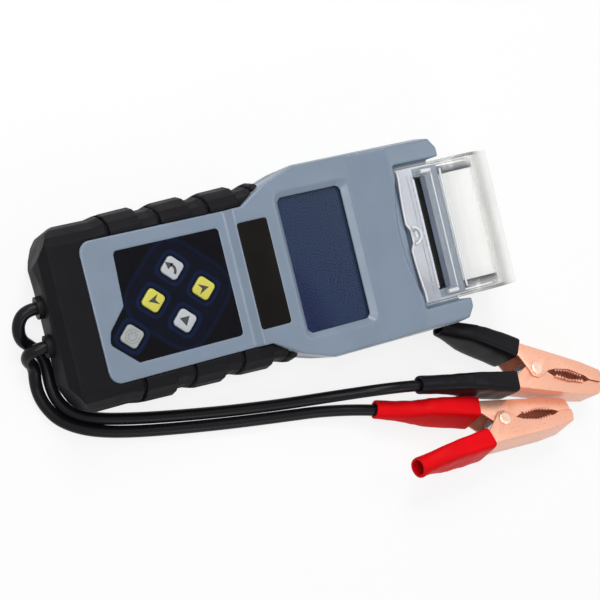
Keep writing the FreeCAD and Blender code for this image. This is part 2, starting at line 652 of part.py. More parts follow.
def gear(x, z, teeth, y0, width, bore, phase):
    """Spur gear along Y with straight-flanked teeth and running backlash."""
    pitch_r = teeth * GEAR_MODULE / 2
    tip_r = pitch_r + GEAR_MODULE * 0.9
    root_r = pitch_r - GEAR_MODULE * 1.15
    step = 2 * math.pi / teeth
    points = []
    for i in range(teeth):
        mid = phase + i * step
        for radius, share in ((root_r, -TOOTH_ROOT), (tip_r, -TOOTH_TIP), (tip_r, TOOTH_TIP), (root_r, TOOTH_ROOT)):
            angle = mid + share * step
            points.append((x + radius * math.cos(angle), z + radius * math.sin(angle)))
    blank = side(points, y0, y0 + width)
    return cut(blank, rod(x, z, bore, y0 - 1, y0 + width + 1))


# each gear is turned so that a tooth meets a gap on the line of centres
idler_phase = idler_turn + math.pi
platen_phase = idler_turn + math.pi / PLATEN_TEETH
pinion_line = pinion_turn
idler_step = 2 * math.pi / IDLER_TEETH
offset = (pinion_line - idler_phase) / idler_step
pinion_phase = pinion_line + math.pi + (0.5 + offset - math.floor(offset)) * 2 * math.pi / PINION_TEETH
save("platen_gear", gear(platen_x, platen_z, PLATEN_TEETH, gear_y, GEAR_WIDTH, SHAFT_RADIUS, platen_phase))
save("idler_gear", gear(idler_x, idler_z, IDLER_TEETH, gear_y, GEAR_WIDTH, 1.0 + RUN, idler_phase))
save("motor_pinion", gear(pinion_x, pinion_z, PINION_TEETH, gear_y, GEAR_WIDTH, 1.0, pinion_phase))
shaft_half = PAPER_WIDTH / 2
save("platen_roller", cut(rod(platen_x, platen_z, PLATEN_RADIUS, -shaft_half, shaft_half),
                          rod(platen_x, platen_z, SHAFT_RADIUS, -shaft_half - 1, shaft_half + 1)))
save("platen_shaft", rod(platen_x, platen_z, SHAFT_RADIUS, -frame_half - 1.0, gear_y + GEAR_WIDTH))
motor_y1 = frame_half - PLATE
motor = rod(pinion_x, pinion_z, MOTOR_RADIUS, motor_y1 - MOTOR_LENGTH, motor_y1)
motor = cut(motor, rod(pinion_x, pinion_z, 1.0 + RUN, motor_y1 - MOTOR_LENGTH + 4, motor_y1 + 1))
save("stepper_motor", motor)
save("motor_shaft", rod(pinion_x, pinion_z, 1.0, motor_y1 - MOTOR_LENGTH + 4.2, gear_y + GEAR_WIDTH))

# ---- paper
roll_solid = cut(rod(roll_x, roll_z, ROLL_RADIUS, -PAPER_WIDTH / 2, PAPER_WIDTH / 2),
                 rod(roll_x, roll_z, CORE_RADIUS, -PAPER_WIDTH / 2 - 1, PAPER_WIDTH / 2 + 1))
save("paper_roll", roll_solid)
save("paper_core", cut(rod(roll_x, roll_z, CORE_RADIUS, -PAPER_WIDTH / 2, PAPER_WIDTH / 2),
                       rod(roll_x, roll_z, CORE_BORE, -PAPER_WIDTH / 2 - 1, PAPER_WIDTH / 2 + 1)))
strip_r = PLATEN_RADIUS + FIT
strip_t = 0.12
strip_half = PAPER_WIDTH / 2
ring = cut(rod(platen_x, platen_z, strip_r + strip_t, -strip_half, strip_half),
           rod(platen_x, platen_z, strip_r, -strip_half - 1, strip_half + 1))
ring = cut(ring, box(platen_x - 20, platen_x + 20, -60, 60, platen_z, platen_z + 20))
riser = box(platen_x - strip_r - strip_t, platen_x - strip_r, -strip_half, strip_half, platen_z,
            COVER_TOP - 1.0)
feed = box(platen_x + strip_r, platen_x + strip_r + strip_t, -strip_half, strip_half, platen_z, platen_z + 2.0)
save("paper_strip", fuse(ring, riser, feed))

# ---- clear cover and its pin
cover_front = bay_x + COVER_LIP


def cover_profile(t):
    """Side outline of the cover, every wall moved inwards by t, open below."""
    r = cover_r - t
    top = COVER_TOP - t
    meet = roll_x - math.sqrt(r * r - (top - roll_z) ** 2)
    low = -5.0 if t else 0.0
    a = V(meet, 0, top)
    b = V(roll_x, 0, roll_z + r)
    c = V(roll_x + r, 0, roll_z)
    mid1 = V(roll_x + r * math.cos(1.9), 0, roll_z + r * math.sin(1.9))
    mid2 = V(roll_x + r * math.cos(0.785), 0, roll_z + r * math.sin(0.785))
    skirt = deck_top + 0.5 + low
    foot = PART_Z + 2.0 + low
    back = chamber_x + 0.6 + (t if t else 0)
    edges = [Part.LineSegment(V(cover_front + t, 0, skirt), V(cover_front + t, 0, top)).toShape(),
             Part.LineSegment(V(cover_front + t, 0, top), a).toShape(),
             Part.Arc(a, mid1, b).toShape(), Part.Arc(b, mid2, c).toShape(),
             Part.LineSegment(c, V(roll_x + r, 0, foot)).toShape(),
             Part.LineSegment(V(roll_x + r, 0, foot), V(back, 0, foot)).toShape(),
             Part.LineSegment(V(back, 0, foot), V(back, 0, skirt)).toShape(),
             Part.LineSegment(V(back, 0, skirt), V(cover_front + t, 0, skirt)).toShape()]
    return Part.Face(Part.Wire(edges))


def across(face, half):
    """Extrude a side face evenly to both sides of the middle plane."""
    face.translate(V(0, -half, 0))
    return face.extrude(V(0, 2 * half, 0))


cover = cut(across(cover_profile(0), cover_half), across(cover_profile(COVER_WALL), cover_half - COVER_WALL),
            sym_box(cover_front - 1, chamber_x + 5, cover_half - COVER_WALL, 0, COVER_TOP - COVER_WALL))
ears = []
for s in (1, -1):
    y0 = cover_half - COVER_WALL if s > 0 else -cover_half
    ear = fuse(rod(hinge_x, hinge_z, 3.0, y0, y0 + COVER_WALL),
               box(hinge_x - 3.0, hinge_x + 2.9, y0, y0 + COVER_WALL, hinge_z, PART_Z + 3))
    ears.append(ear)
bow_low = DECK_Z - CRESCENT_DEEP + FIT
bow = cut(bulge(cover_front, BOW, BOW_HALF, bow_low, COVER_TOP),
          bulge(cover_front + COVER_WALL, BOW, BOW_HALF, bow_low - 1, COVER_TOP - COVER_WALL))
bow = bow.common(sym_box(cover_front - 2 * BOW, cover_front + 0.5, BOW_HALF + 1, bow_low, COVER_TOP))
finger = plan(mirrored([(cover_front - BOW - 3, NOTCH_HALF + 5), (cover_front - BOW, NOTCH_HALF),
                        (cover_front - BOW + NOTCH_DEEP, NOTCH_HALF - 4)]), deck_top - 1, COVER_TOP + 4,
              [0, 4.0, 2.5, 2.5, 4.0, 0])
lift_x = cover_front - BOW + NOTCH_DEEP + 1.6
cover_slot = pocket(slot_x - 1.3, slot_x + SLOT_WIDTH - 1.0, slot_half + 0.3, COVER_TOP - 5, COVER_TOP + 1, 0.8)
lift = cut(post(lift_x, 0, LIFT_RADIUS, COVER_TOP - 0.5, COVER_TOP + 0.8),
           post(lift_x, 0, LIFT_RADIUS - 1.2, COVER_TOP - 1, COVER_TOP + 2))
cover = cut(fuse(cover, bow, lift, *ears), finger, cover_slot, pin_bore)
cover = max(cover.Solids, key=lambda item: item.Volume)
save("printer_cover", cover)
save("cover_hinge_pin", rod(hinge_x, hinge_z, SHAFT_RADIUS, -cover_half, cover_half))

# ---------------------------------------------------------------- leads
# routes from the grommet face to the crimp, chosen for how the leads lie
RED_ROUTE = [
    (-129.3, -9.4, 20.0), (-135.8, -9.4, 20.0), (-138.4, -12.8, 12.6), (-134.8, -17.4, 6.4),
    (-137.4, -25.2, 3.6), (-137.2, -32.2, 3.2), (-134.4, -39.6, 3.2), (-128.9, -47.3, 3.2),
    (-118.4, -54.2, 3.2), (-104.5, -59.4, 3.2), (-83.4, -64.6, 3.2), (-48.6, -70.6, 3.2),
    (-15.5, -75.6, 3.2), (10.0, -79.4, 4.2), (36.0, -84.9, 9.67), (53.95, -91.05, 10.49),
]
BLACK_ROUTE = [
    (-129.3, 9.4, 20.0), (-135.4, 9.4, 20.0), (-140.2, 3.8, 17.2), (-139.6, -3.2, 12.6),
    (-134.4, -7.6, 8.0), (-129.4, -12.6, 4.4), (-129.0, -20.5, 3.2), (-129.9, -28.6, 3.2),
    (-128.0, -36.0, 3.2), (-123.0, -43.7, 3.2), (-112.8, -49.3, 3.2), (-98.4, -53.2, 3.2),
    (-78.0, -57.8, 3.2), (-47.2, -63.6, 3.2), (-19.0, -68.0, 3.2), (-2.0, -70.2, 3.6),
    (17.0, -72.2, 8.6), (38.0, -74.2, 20.0), (58.71, -77.5, 22.08), (77.14, -81.83, 20.48),
]
grommets = []
for s in (1, -1):
    centre = V(grommet_x, s * CORD_EXIT_Y, CORD_EXIT_Z)
    sleeve = Part.makeCylinder(CORD / 2 + 2.4, BOOT_TAIL + WALL + 3.0, centre, V(1, 0, 0))
    collar = Part.makeCylinder(CORD / 2 + 3.6, 2.0, centre + V(BOOT_TAIL + WALL + 3.0, 0, 0), V(1, 0, 0))
    grommets.append(fuse(sleeve, collar))
# each lead ends face to face with its grommet, which holds the rest of it inside
save("lead_grommets", *grommets)


# ---------------------------------------------------------------- clamps
# pose of each clamp: rivet centre, then yaw, pitch and roll in degrees
CLAMP_POSES = {
    "red": (103.5, -112.6, 14.95, -8.5, 2.6, -26.0),
    "black": (130.5, -89.5, 14.65, -24.3, 1.7, -16.0),
}
FREE_SIDE = {"red": -1, "black": 1}    # side of the clamp's line that the free lever is on
INNER_HALF = CLAMP_WIDTH / 2 - SHEET - 0.1
alpha = math.radians(HANDLE_ANGLE)


def handle_point(along, out=0.0):
    """Point on the handle line, a distance from the rivet, moved out from the clamp's line."""
    u = -along * math.cos(alpha) + out * math.sin(alpha)
    v = HANDLE_OFFSET + along * math.sin(alpha) + out * math.cos(alpha)
    return (u, v)


def lever(half, turning):
    """One stamped channel on the +v side: handle, pivot ears and jaw."""
    web = [handle_point(HANDLE, 3.6), handle_point(12.0, 5.4), (8.0, 11.2), (30.0, 9.4), (44.0, 7.0), (JAW, 3.4)]
    mouth = [(JAW, 0.15), (37.0, 0.15), (33.0, 1.8), (22.0, 3.4), (12.0, 1.8), (8.0, 0.15)]
    ear = [(4.4, -3.0), (1.6, -5.0), (-2.4, -4.8), (-5.2, -1.6), handle_point(12.0, -2.2), handle_point(HANDLE, -2.2)]
    form = plan(web + mouth + ear, -half, half)
    inner = half - SHEET
    hollow = [handle_point(HANDLE + 9, 3.6 - SHEET), handle_point(12.0, 5.4 - SHEET), (8.0, 11.2 - SHEET),
              (30.0, 9.4 - SHEET), (43.6, 7.0 - SHEET), (JAW - SHEET, 3.0), (JAW - SHEET, -20.0),
              (-HANDLE - 9, -20.0)]
    form = cut(form, plan(hollow, -inner, inner))
    hole = RIVET_RADIUS + (RUN if turning else 0.0)
    return cut(form, Part.makeCylinder(hole, 60, V(0, 0, -30)))


def sleeve_wire(along, out, deep, wide, radius):
    """Rounded cross-section of a sleeve, square to the handle line."""
    u, v = handle_point(along, out)
    centre = V(u, v, 0)
    outward = V(math.sin(alpha), math.cos(alpha), 0)
    across_clamp = V(0, 0, 1)
    corners = [centre + outward * (a * deep) + across_clamp * (b * wide)
               for a, b in ((-1, -1), (1, -1), (1, 1), (-1, 1))]
    return corner_wire(corners, [radius] * 4)


def sleeve(stations):
    """Soft tube over a handle from (distance, shift outwards, half depth, half width) stations."""
    solid = Part.makeLoft([sleeve_wire(a, o, d, w, min(d, w) * 0.6) for a, o, d, w in stations], True, True)
    holes = []
    for i in range(len(stations) - 1):
        pair = [stations[i], stations[i + 1]]
        holes.append([sleeve_wire(a, o, d - SKIN, w - SKIN, SKIN) for a, o, d, w in pair])
    bore = Part.makeLoft([wires[0] for wires in holes] + [holes[-1][1]], True, True)
    for (a, o, d, w), shift in ((stations[0], -0.5), (stations[-1], 0.5)):
        wires = [sleeve_wire(a + k, o, d - SKIN, w - SKIN, SKIN) for k in (0.0, shift)]
        bore = bore.fuse(Part.makeLoft(wires, True, True))
    return cut(solid, bore)


def wire_rod(a, b, radius):
    """Straight round wire between two points."""
    return Part.makeCylinder(radius, a.distanceToPoint(b), a, b - a)


def torsion_spring():
    """Coil round the rivet with a leg against each handle."""
    wire_r = 0.8
    coil_r = 5.0
    pitch = 1.8
    turns = 5.5
    height = pitch * turns
    helix = Part.makeHelix(pitch, height, coil_r)
    start = V(coil_r, 0, 0)
    slope = V(0, 2 * math.pi * coil_r, pitch).normalize()
    profile = Part.Wire(Part.makeCircle(wire_r, start, slope))
    pipe = Part.Wire(helix.Edges).makePipeShell([profile], True, True)
    pipe.rotate(V(0, 0, 0), V(0, 0, 1), -90.0)
    pipe.translate(V(0, 0, -height / 2))
    low = V(0, -coil_r, -height / 2)
    high = V(0, coil_r, height / 2)
    u, v = handle_point(22.0, 4.9 - SHEET - wire_r - 0.3)
    legs = [wire_rod(low, V(u, -v, -height / 2), wire_r), wire_rod(high, V(u, v, height / 2), wire_r)]
    knees = [Part.makeSphere(wire_r * 1.02, low), Part.makeSphere(wire_r * 1.02, high)]
    return pipe.fuse(legs + knees)


def place(shape, colour, flip):
    """Put a clamp piece, mirrored to the -v side if asked, at its clamp's pose."""
    x, y, z, yaw, pitch, roll = CLAMP_POSES[colour]
    solid = shape.mirror(V(0, 0, 0), V(0, 1, 0)) if flip else shape.copy()
    solid.Placement = FreeCAD.Placement(V(x, y, z), FreeCAD.Rotation(yaw, pitch, roll)).multiply(solid.Placement)
    return solid


free_lever = lever(CLAMP_WIDTH / 2, True)
cord_lever = lever(INNER_HALF, False)
free_sleeve = sleeve([(SLEEVE_START, 2.0, 5.6, 11.6), (HANDLE + 1, 0.6, 5.1, 11.5), (FREE_SLEEVE - 8, 0, 5.0, 8.0),
                      (FREE_SLEEVE, 0, 4.9, 6.2)])
cord_sleeve = sleeve([(SLEEVE_START, 2.0, 5.6, 10.5), (HANDLE + 1, 0.6, 5.1, 10.4), (HANDLE + 14, 0, 5.0, 6.8),
                      (CORD_SLEEVE, 0, CORD / 2 + 1.8, CORD / 2 + 1.9)])
rivet = Part.makeCylinder(RIVET_RADIUS, CLAMP_WIDTH + 0.1, V(0, 0, -CLAMP_WIDTH / 2 - 0.05))
for s in (1, -1):
    rivet = rivet.fuse(Part.makeCone(3.9, 3.0, 1.0, V(0, 0, s * (CLAMP_WIDTH / 2 + 0.05)), V(0, 0, s)))
spring = torsion_spring()
crimp_a = handle_point(HANDLE + CRIMP_PROUD - CRIMP_LENGTH)
crimp_b = handle_point(HANDLE + CRIMP_PROUD)
crimp = wire_rod(V(crimp_a[0], crimp_a[1], 0), V(crimp_b[0], crimp_b[1], 0), 2.4)
for colour, free_side in FREE_SIDE.items():
    flip_free = free_side < 0
    save(colour + "_free_lever", place(free_lever, colour, flip_free))
    save(colour + "_free_sleeve", place(free_sleeve, colour, flip_free))
    save(colour + "_cord_lever", place(cord_lever, colour, not flip_free))
    save(colour + "_cord_sleeve", place(cord_sleeve, colour, not flip_free))
    save(colour + "_rivet", place(rivet, colour, False))
    save(colour + "_spring", place(spring, colour, False))
    save(colour + "_crimp", place(crimp, colour, not flip_free))
    pose = place(Part.Vertex(crimp_b[0], crimp_b[1], 0), colour, not flip_free).Point
    mouth_at = handle_point(CORD_SLEEVE)
    mouth_pose = place(Part.Vertex(mouth_at[0], mouth_at[1], 0), colour, not flip_free).Point
    print(colour, "crimp face", [round(c, 2) for c in pose], "sleeve mouth", [round(c, 2) for c in mouth_pose])


# ---------------------------------------------------------------- leads
def tube(name, route, radius):
    """Round lead along straight runs joined by tangent arcs."""
    points = [V(*p) for p in route]
    edges = []
    last = points[0]
    length = 0.0
    radii = []
    for i in range(1, len(points) - 1):
        back = points[i - 1] - points[i]
        ahead = points[i + 1] - points[i]
        turn = math.pi - back.getAngle(ahead)
        run = min(back.Length, ahead.Length)
        arc_r = 0.45 * run / math.tan(turn / 2)
        cut_back = 0.45 * run
        a = points[i] + V(back).normalize() * cut_back
        b = points[i] + V(ahead).normalize() * cut_back
        inward = (V(back).normalize() + V(ahead).normalize()).normalize()
        m = points[i] + inward * (arc_r / math.cos(turn / 2) - arc_r)
        edges.append(Part.LineSegment(last, a).toShape())
        edges.append(Part.Arc(a, m, b).toShape())
        length += last.distanceToPoint(a) + arc_r * turn
        radii.append(arc_r)
        last = b
    edges.append(Part.LineSegment(last, points[-1]).toShape())
    length += last.distanceToPoint(points[-1])
    path = Part.Wire(edges)
    start = Part.Wire(Part.makeCircle(radius, points[0], points[1] - points[0]))
    solid = path.makePipeShell([start], True, False)
    share = solid.Volume / (math.pi * radius * radius * length)
    print(name, "length", round(length, 1), "radii", [round(r, 1) for r in radii], "volume share", round(share, 4))
    return solid


save("lead_red", tube("lead_red", RED_ROUTE, CORD / 2))
save("lead_black", tube("lead_black", BLACK_ROUTE, CORD / 2))
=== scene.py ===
import json
import logging
import math
import random
from dataclasses import astuple, dataclass, field
from enum import Enum
from typing import Callable, Iterable, Sequence

import bmesh
import bpy
from mathutils import Matrix, Vector

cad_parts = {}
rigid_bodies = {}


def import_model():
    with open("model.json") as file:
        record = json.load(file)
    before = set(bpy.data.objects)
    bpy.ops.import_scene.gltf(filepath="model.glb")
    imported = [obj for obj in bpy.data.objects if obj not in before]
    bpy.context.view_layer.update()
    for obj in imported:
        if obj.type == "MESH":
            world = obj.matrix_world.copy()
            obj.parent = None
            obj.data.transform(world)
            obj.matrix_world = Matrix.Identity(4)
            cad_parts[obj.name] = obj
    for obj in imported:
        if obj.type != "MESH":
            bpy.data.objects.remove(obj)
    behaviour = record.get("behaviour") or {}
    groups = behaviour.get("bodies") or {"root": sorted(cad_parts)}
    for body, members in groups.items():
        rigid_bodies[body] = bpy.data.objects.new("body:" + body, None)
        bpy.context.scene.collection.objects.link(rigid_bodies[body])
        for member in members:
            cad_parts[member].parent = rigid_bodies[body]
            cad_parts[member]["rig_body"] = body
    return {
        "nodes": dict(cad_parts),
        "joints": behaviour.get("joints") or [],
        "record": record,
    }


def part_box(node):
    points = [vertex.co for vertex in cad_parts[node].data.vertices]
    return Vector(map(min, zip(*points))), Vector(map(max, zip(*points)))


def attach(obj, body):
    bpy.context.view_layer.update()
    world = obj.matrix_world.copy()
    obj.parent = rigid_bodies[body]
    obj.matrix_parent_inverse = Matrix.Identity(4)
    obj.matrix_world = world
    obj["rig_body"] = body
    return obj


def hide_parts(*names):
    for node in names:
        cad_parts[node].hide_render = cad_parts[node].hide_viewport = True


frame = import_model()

LOG = logging.getLogger("battery_tester")
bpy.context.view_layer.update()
MOUNTS = frame["record"]["mounts"]
MM = 0.001
EVEN = (1.0, 1.0, 1.0)
Point = tuple[float, float, float]
Flat = tuple[float, float]
Colour = tuple[float, float, float]
Ring = list[Vector]
Piece = bpy.types.Object
Socket = bpy.types.NodeSocket
Material = bpy.types.Material


# ---------------- shader graphs
class Nodes:
    """Adds nodes to one tree."""

    def __init__(self, tree: bpy.types.NodeTree) -> None:
        """Start with an empty tree.

        Args:
            tree: A material's or the world's tree.
        """
        self.tree = tree
        self.tree.nodes.clear()

    def feed(self, socket: Socket, value: object) -> None:
        """Give an input a value, or join it to another node's output."""
        if isinstance(value, Socket):
            self.tree.links.new(value, socket)
        elif socket.type == "RGBA" and len(value) == 3:
            socket.default_value = (*value, 1.0)
        else:
            socket.default_value = value

    def node(self, kind: str, **inputs: object) -> bpy.types.Node:
        """Add a node.

        Args:
            kind: Its type, without Blender's prefix.
            inputs: Value or output for each input, with underscores for spaces in the names.

        Returns:
            The new node.
        """
        node = self.tree.nodes.new("ShaderNode" + kind)
        for key, value in inputs.items():
            self.feed(node.inputs[key.replace("_", " ")], value)
        return node

    def math(self, operation: str, a: object, b: object = 0.0) -> Socket:
        """One arithmetic step on outputs or numbers."""
        node = self.node("Math")
        node.operation = operation
        for socket, value in zip(node.inputs, (a, b)):
            self.feed(socket, value)
        return node.outputs[0]

    def background_rays(self) -> Socket:
        """1 for camera, glossy and transmission rays, which all show the same background."""
        path = self.node("LightPath").outputs
        seen = self.math("MAXIMUM", path["Is Camera Ray"], path["Is Glossy Ray"])
        return self.math("MAXIMUM", seen, path["Is Transmission Ray"])


class Graph(Nodes):
    """One material with a Principled shader."""

    def __init__(self, name: str) -> None:
        """Start the material.

        Args:
            name: The material's name.
        """
        self.material = bpy.data.materials.new(name)
        self.material.use_nodes = True
        super().__init__(self.material.node_tree)
        self.output = self.node("OutputMaterial")
        self.shader = self.node("BsdfPrincipled")
        self.feed(self.output.inputs["Surface"], self.shader.outputs["BSDF"])
        self._position: Socket | None = None

    def set(self, **inputs: object) -> None:
        """Feed the shader's own inputs, with underscores for spaces in their names."""
        for key, value in inputs.items():
            self.feed(self.shader.inputs[key.replace("_", " ")], value)

    def blend(self, share: object, under: Socket, over: Socket) -> None:
        """Show a mix of two shaders."""
        both = self.node("MixShader")
        for socket, value in zip(both.inputs, (share, under, over)):
            self.feed(socket, value)
        self.feed(self.output.inputs["Surface"], both.outputs[0])

    def position(self) -> Socket:
        """Position on the piece at rest, in metres."""
        if self._position is None:
            self._position = self.node("TexCoord").outputs["Object"]
        return self._position

    def axes(self) -> tuple[Socket, ...]:
        """The position's three coordinates."""
        return tuple(self.node("SeparateXYZ", Vector=self.position()).outputs)

    def noise(self, scale: float, detail: float = 3.0, stretch: Point = EVEN) -> Socket:
        """Fractal noise.

        Args:
            scale: Features per metre.
            detail: Octaves.
            stretch: Factor for each axis.

        Returns:
            The noise value, about 0 to 1.
        """
        place = self.node("Mapping", Vector=self.position(), Scale=stretch).outputs["Vector"]
        return self.node("TexNoise", Vector=place, Scale=scale, Detail=detail).outputs["Fac"]

    def wave(self, scale: float, axis: str) -> Socket:
        """Parallel bands along one axis."""
        node = self.node("TexWave", Vector=self.position(), Scale=scale, Distortion=0.0)
        node.bands_direction = axis
        return node.outputs["Fac"]

    def remap(self, value: Socket, low: float, high: float, out_low: float, out_high: float) -> Socket:
        """Smooth change of range.

        Args:
            value: Input value.
            low: Input that gives out_low.
            high: Input that gives out_high.
            out_low: First output.
            out_high: Last output.

        Returns:
            The remapped value.
        """
        node = self.node("MapRange", Value=value, From_Min=low, From_Max=high, To_Min=out_low,
                         To_Max=out_high)
        node.interpolation_type = "SMOOTHSTEP"
        return node.outputs["Result"]

    def mix(self, factor: object, first: object, second: object) -> Socket:
        """Mix two colours.

        Args:
            factor: Share of the second.
            first: Colour or output.
            second: Colour or output.

        Returns:
            The mixed colour.
        """
        node = self.node("Mix")
        node.data_type = "RGBA"
        for place, value in ((0, factor), (6, first), (7, second)):
            self.feed(node.inputs[place], value)
        return node.outputs[2]

    def bump(self, height: Socket, depth: float, strength: float = 1.0,
             under: Socket | None = None) -> Socket:
        """Surface relief.

        Args:
            height: Height, about 0 to 1.
            depth: Depth of the relief in metres.
            strength: Share of it that shows.
            under: Normal of a coarser relief below.

        Returns:
            The new normal.
        """
        node = self.node("Bump", Height=height, Distance=depth, Strength=strength)
        if under is not None:
            self.feed(node.inputs["Normal"], under)
        return node.outputs["Normal"]


# ---------------- finishes
@dataclass(frozen=True)
class Moulded:
    """Moulded plastic or rubber with a fine spark texture and slight mottling."""

    name: str
    colour: Colour
    roughness: float = 0.45
    grain: float = 2600.0
    depth: float = 0.00003
    mottle: float = 0.10
    coat: float = 0.0
    specular: float = 0.5

    def build(self) -> Material:
        """Make the material."""
        g = Graph(self.name)
        cloud = g.noise(38.0, 4.0)
        fine = g.noise(self.grain, 2.0)
        dark = tuple(c * (1.0 - self.mottle) for c in self.colour)
        light = tuple(min(1.0, c * (1.0 + self.mottle)) for c in self.colour)
        base = g.mix(g.remap(cloud, 0.32, 0.68, 0.0, 1.0), dark, light)
        speck = g.remap(fine, 0.35, 0.7, 0.0, 0.22)
        smoother, rougher = self.roughness * 0.88, min(1.0, self.roughness * 1.12)
        swell = g.bump(g.noise(55.0, 2.0), 0.00012, 0.35)
        g.set(Base_Color=g.mix(speck, base, light), Normal=g.bump(fine, self.depth, 0.8, swell),
              Roughness=g.remap(g.noise(90.0, 3.0), 0.3, 0.7, smoother, rougher),
              Coat_Weight=self.coat, Coat_Roughness=0.12, Specular_IOR_Level=self.specular)
        return g.material


@dataclass(frozen=True)
class Metal:
    """Bare or plated metal with drawing marks along one axis and light tarnish."""

    name: str
    colour: Colour
    tarnish: Colour
    roughness: float = 0.28
    stretch: Point = (1.0, 14.0, 14.0)
    depth: float = 0.00002
    spots: float = 0.25
    metallic: float = 1.0
    drawn: float = 0.18

    def build(self) -> Material:
        """Make the material."""
        g = Graph(self.name)
        marks = g.noise(420.0, 4.0, self.stretch)
        patches = g.noise(60.0, 4.0)
        base = g.mix(g.remap(patches, 0.5, 0.78, 0.0, self.spots), self.colour, self.tarnish)
        g.set(Base_Color=g.mix(g.remap(marks, 0.45, 0.8, 0.0, self.drawn), base, self.tarnish),
              Roughness=g.remap(marks, 0.3, 0.7, self.roughness * 0.8, self.roughness * 1.25),
              Metallic=self.metallic)
        if self.depth:
            g.set(Normal=g.bump(marks, self.depth, 0.5))
        return g.material


@dataclass(frozen=True)
class Paper:
    """Thermal paper with faint fibres."""

    name: str
    colour: Colour

    def build(self) -> Material:
        """Make the material."""
        g = Graph(self.name)
        fibre = g.noise(1500.0, 3.0, (1.0, 0.25, 1.0))
        shade = tuple(c * 0.93 for c in self.colour)
        base = g.mix(g.remap(g.noise(40.0, 3.0), 0.3, 0.7, 0.0, 0.6), self.colour, shade)
        g.set(Base_Color=g.mix(g.remap(fibre, 0.5, 0.8, 0.0, 0.25), base, shade),
              Normal=g.bump(fibre, 0.00002, 0.6), Roughness=0.62, Specular_IOR_Level=0.3)
        return g.material


@dataclass(frozen=True)
class ClearPlastic:
    """Clear moulded sheet: mostly see-through, with a bluish body and a sharp gloss."""

    name: str
    tint: Colour
    body: Colour
    cover: float = 0.22
    roughness: float = 0.06
    # Whether white glare is painted over the paper roll.
    paints_roll_glare: bool = False

    def paint_roll_glare(self, g: Graph) -> Socket:
        """Painted light over the paper roll: white on the cover that hides the shade in the gaps at the
        roll's ends, strongest along its back, where it stands in for glare.
        """
        px, py, _ = g.axes()
        over_roll = g.remap(px, 0.088, 0.094, 0.0, 1.0)
        ends = g.remap(g.math("ABSOLUTE", py), 0.0290, 0.0330, 0.0, 0.22)
        back = g.remap(px, 0.104, 0.118, 0.0, 0.85)
        return g.math("MULTIPLY", over_roll, g.math("MAXIMUM", ends, back))

    def build(self) -> Material:
        """Make the material."""
        g = Graph(self.name)
        ripple = g.bump(g.noise(110.0, 3.0), 0.00008, 0.5)
        shade = tuple(c * 0.92 for c in self.body)
        g.set(Base_Color=g.mix(g.remap(g.noise(45.0, 3.0), 0.35, 0.65, 0.0, 1.0), self.body, shade),
              Normal=g.bump(g.noise(900.0, 2.0), 0.000008, 0.5, ripple), Roughness=self.roughness,
              Specular_IOR_Level=0.8, Coat_Weight=0.6, Coat_Roughness=0.03)
        clear = g.node("BsdfTransparent", Color=self.tint)
        glint = g.math("MULTIPLY", g.node("Fresnel", IOR=1.55).outputs[0], 0.7)
        share = g.math("ADD", glint, self.cover)
        # Painted light: white glare over the roll, which also hides the shade at its ends.
        if self.paints_roll_glare:
            share = g.math("ADD", share, self.paint_roll_glare(g))
        g.blend(g.math("MINIMUM", share, 1.0), clear.outputs[0], g.shader.outputs[0])
        return g.material


@dataclass(frozen=True)
class PrintedOverlay:
    """Dark keypad film with a soft navy frame round each key and one large square round four keys."""

    name: str
    keys: tuple[Flat, ...]
    centre: Flat
    half: float = 0.0067
    large: float = 0.0225

    def square(self, g: Graph, x: float, y: float) -> Socket:
        """Distance from a centre to a square that stands on its corner, as its half side."""
        px, py, _ = g.axes()
        dx = g.math("SUBTRACT", px, x)
        dy = g.math("SUBTRACT", py, y)
        turned, power = 0.7071, 4.0
        u = g.math("ABSOLUTE", g.math("MULTIPLY", g.math("ADD", dx, dy), turned))
        v = g.math("ABSOLUTE", g.math("MULTIPLY", g.math("SUBTRACT", dx, dy), turned))
        total = g.math("ADD", g.math("POWER", u, power), g.math("POWER", v, power))
        return g.math("POWER", total, 1.0 / power)

    def ring(self, g: Graph, distance: Socket, at: float, width: float) -> Socket:
        """Soft band at one distance."""
        off = g.math("ABSOLUTE", g.math("SUBTRACT", distance, at))
        return g.remap(off, 0.0, width, 1.0, 0.0)

    def build(self) -> Material:
        """Make the material."""
        g = Graph(self.name)
        near_black = (0.0036, 0.0036, 0.0056)
        navy = (0.0062, 0.0125, 0.044)
        total: Socket | None = None
        for x, y in self.keys:
            band = self.ring(g, self.square(g, x, y), self.half, 0.0016)
            total = band if total is None else g.math("MAXIMUM", total, band)
        big = self.square(g, *self.centre)
        inside = g.remap(big, self.large - 0.003, self.large + 0.002, 0.16, 0.0)
        edge = g.math("MULTIPLY", self.ring(g, big, self.large, 0.0018), 0.45)
        share = g.math("MAXIMUM", g.math("MAXIMUM", total, edge), inside)
        mottled = g.math("MULTIPLY", share, g.remap(g.noise(300.0, 3.0), 0.3, 0.7, 0.75, 1.0))
        g.set(Base_Color=g.mix(mottled, near_black, navy), Specular_IOR_Level=0.05,
              Roughness=g.remap(g.noise(160.0, 3.0), 0.3, 0.7, 0.30, 0.42),
              Normal=g.bump(g.noise(2200.0, 2.0), 0.000012, 0.6))
        return g.material


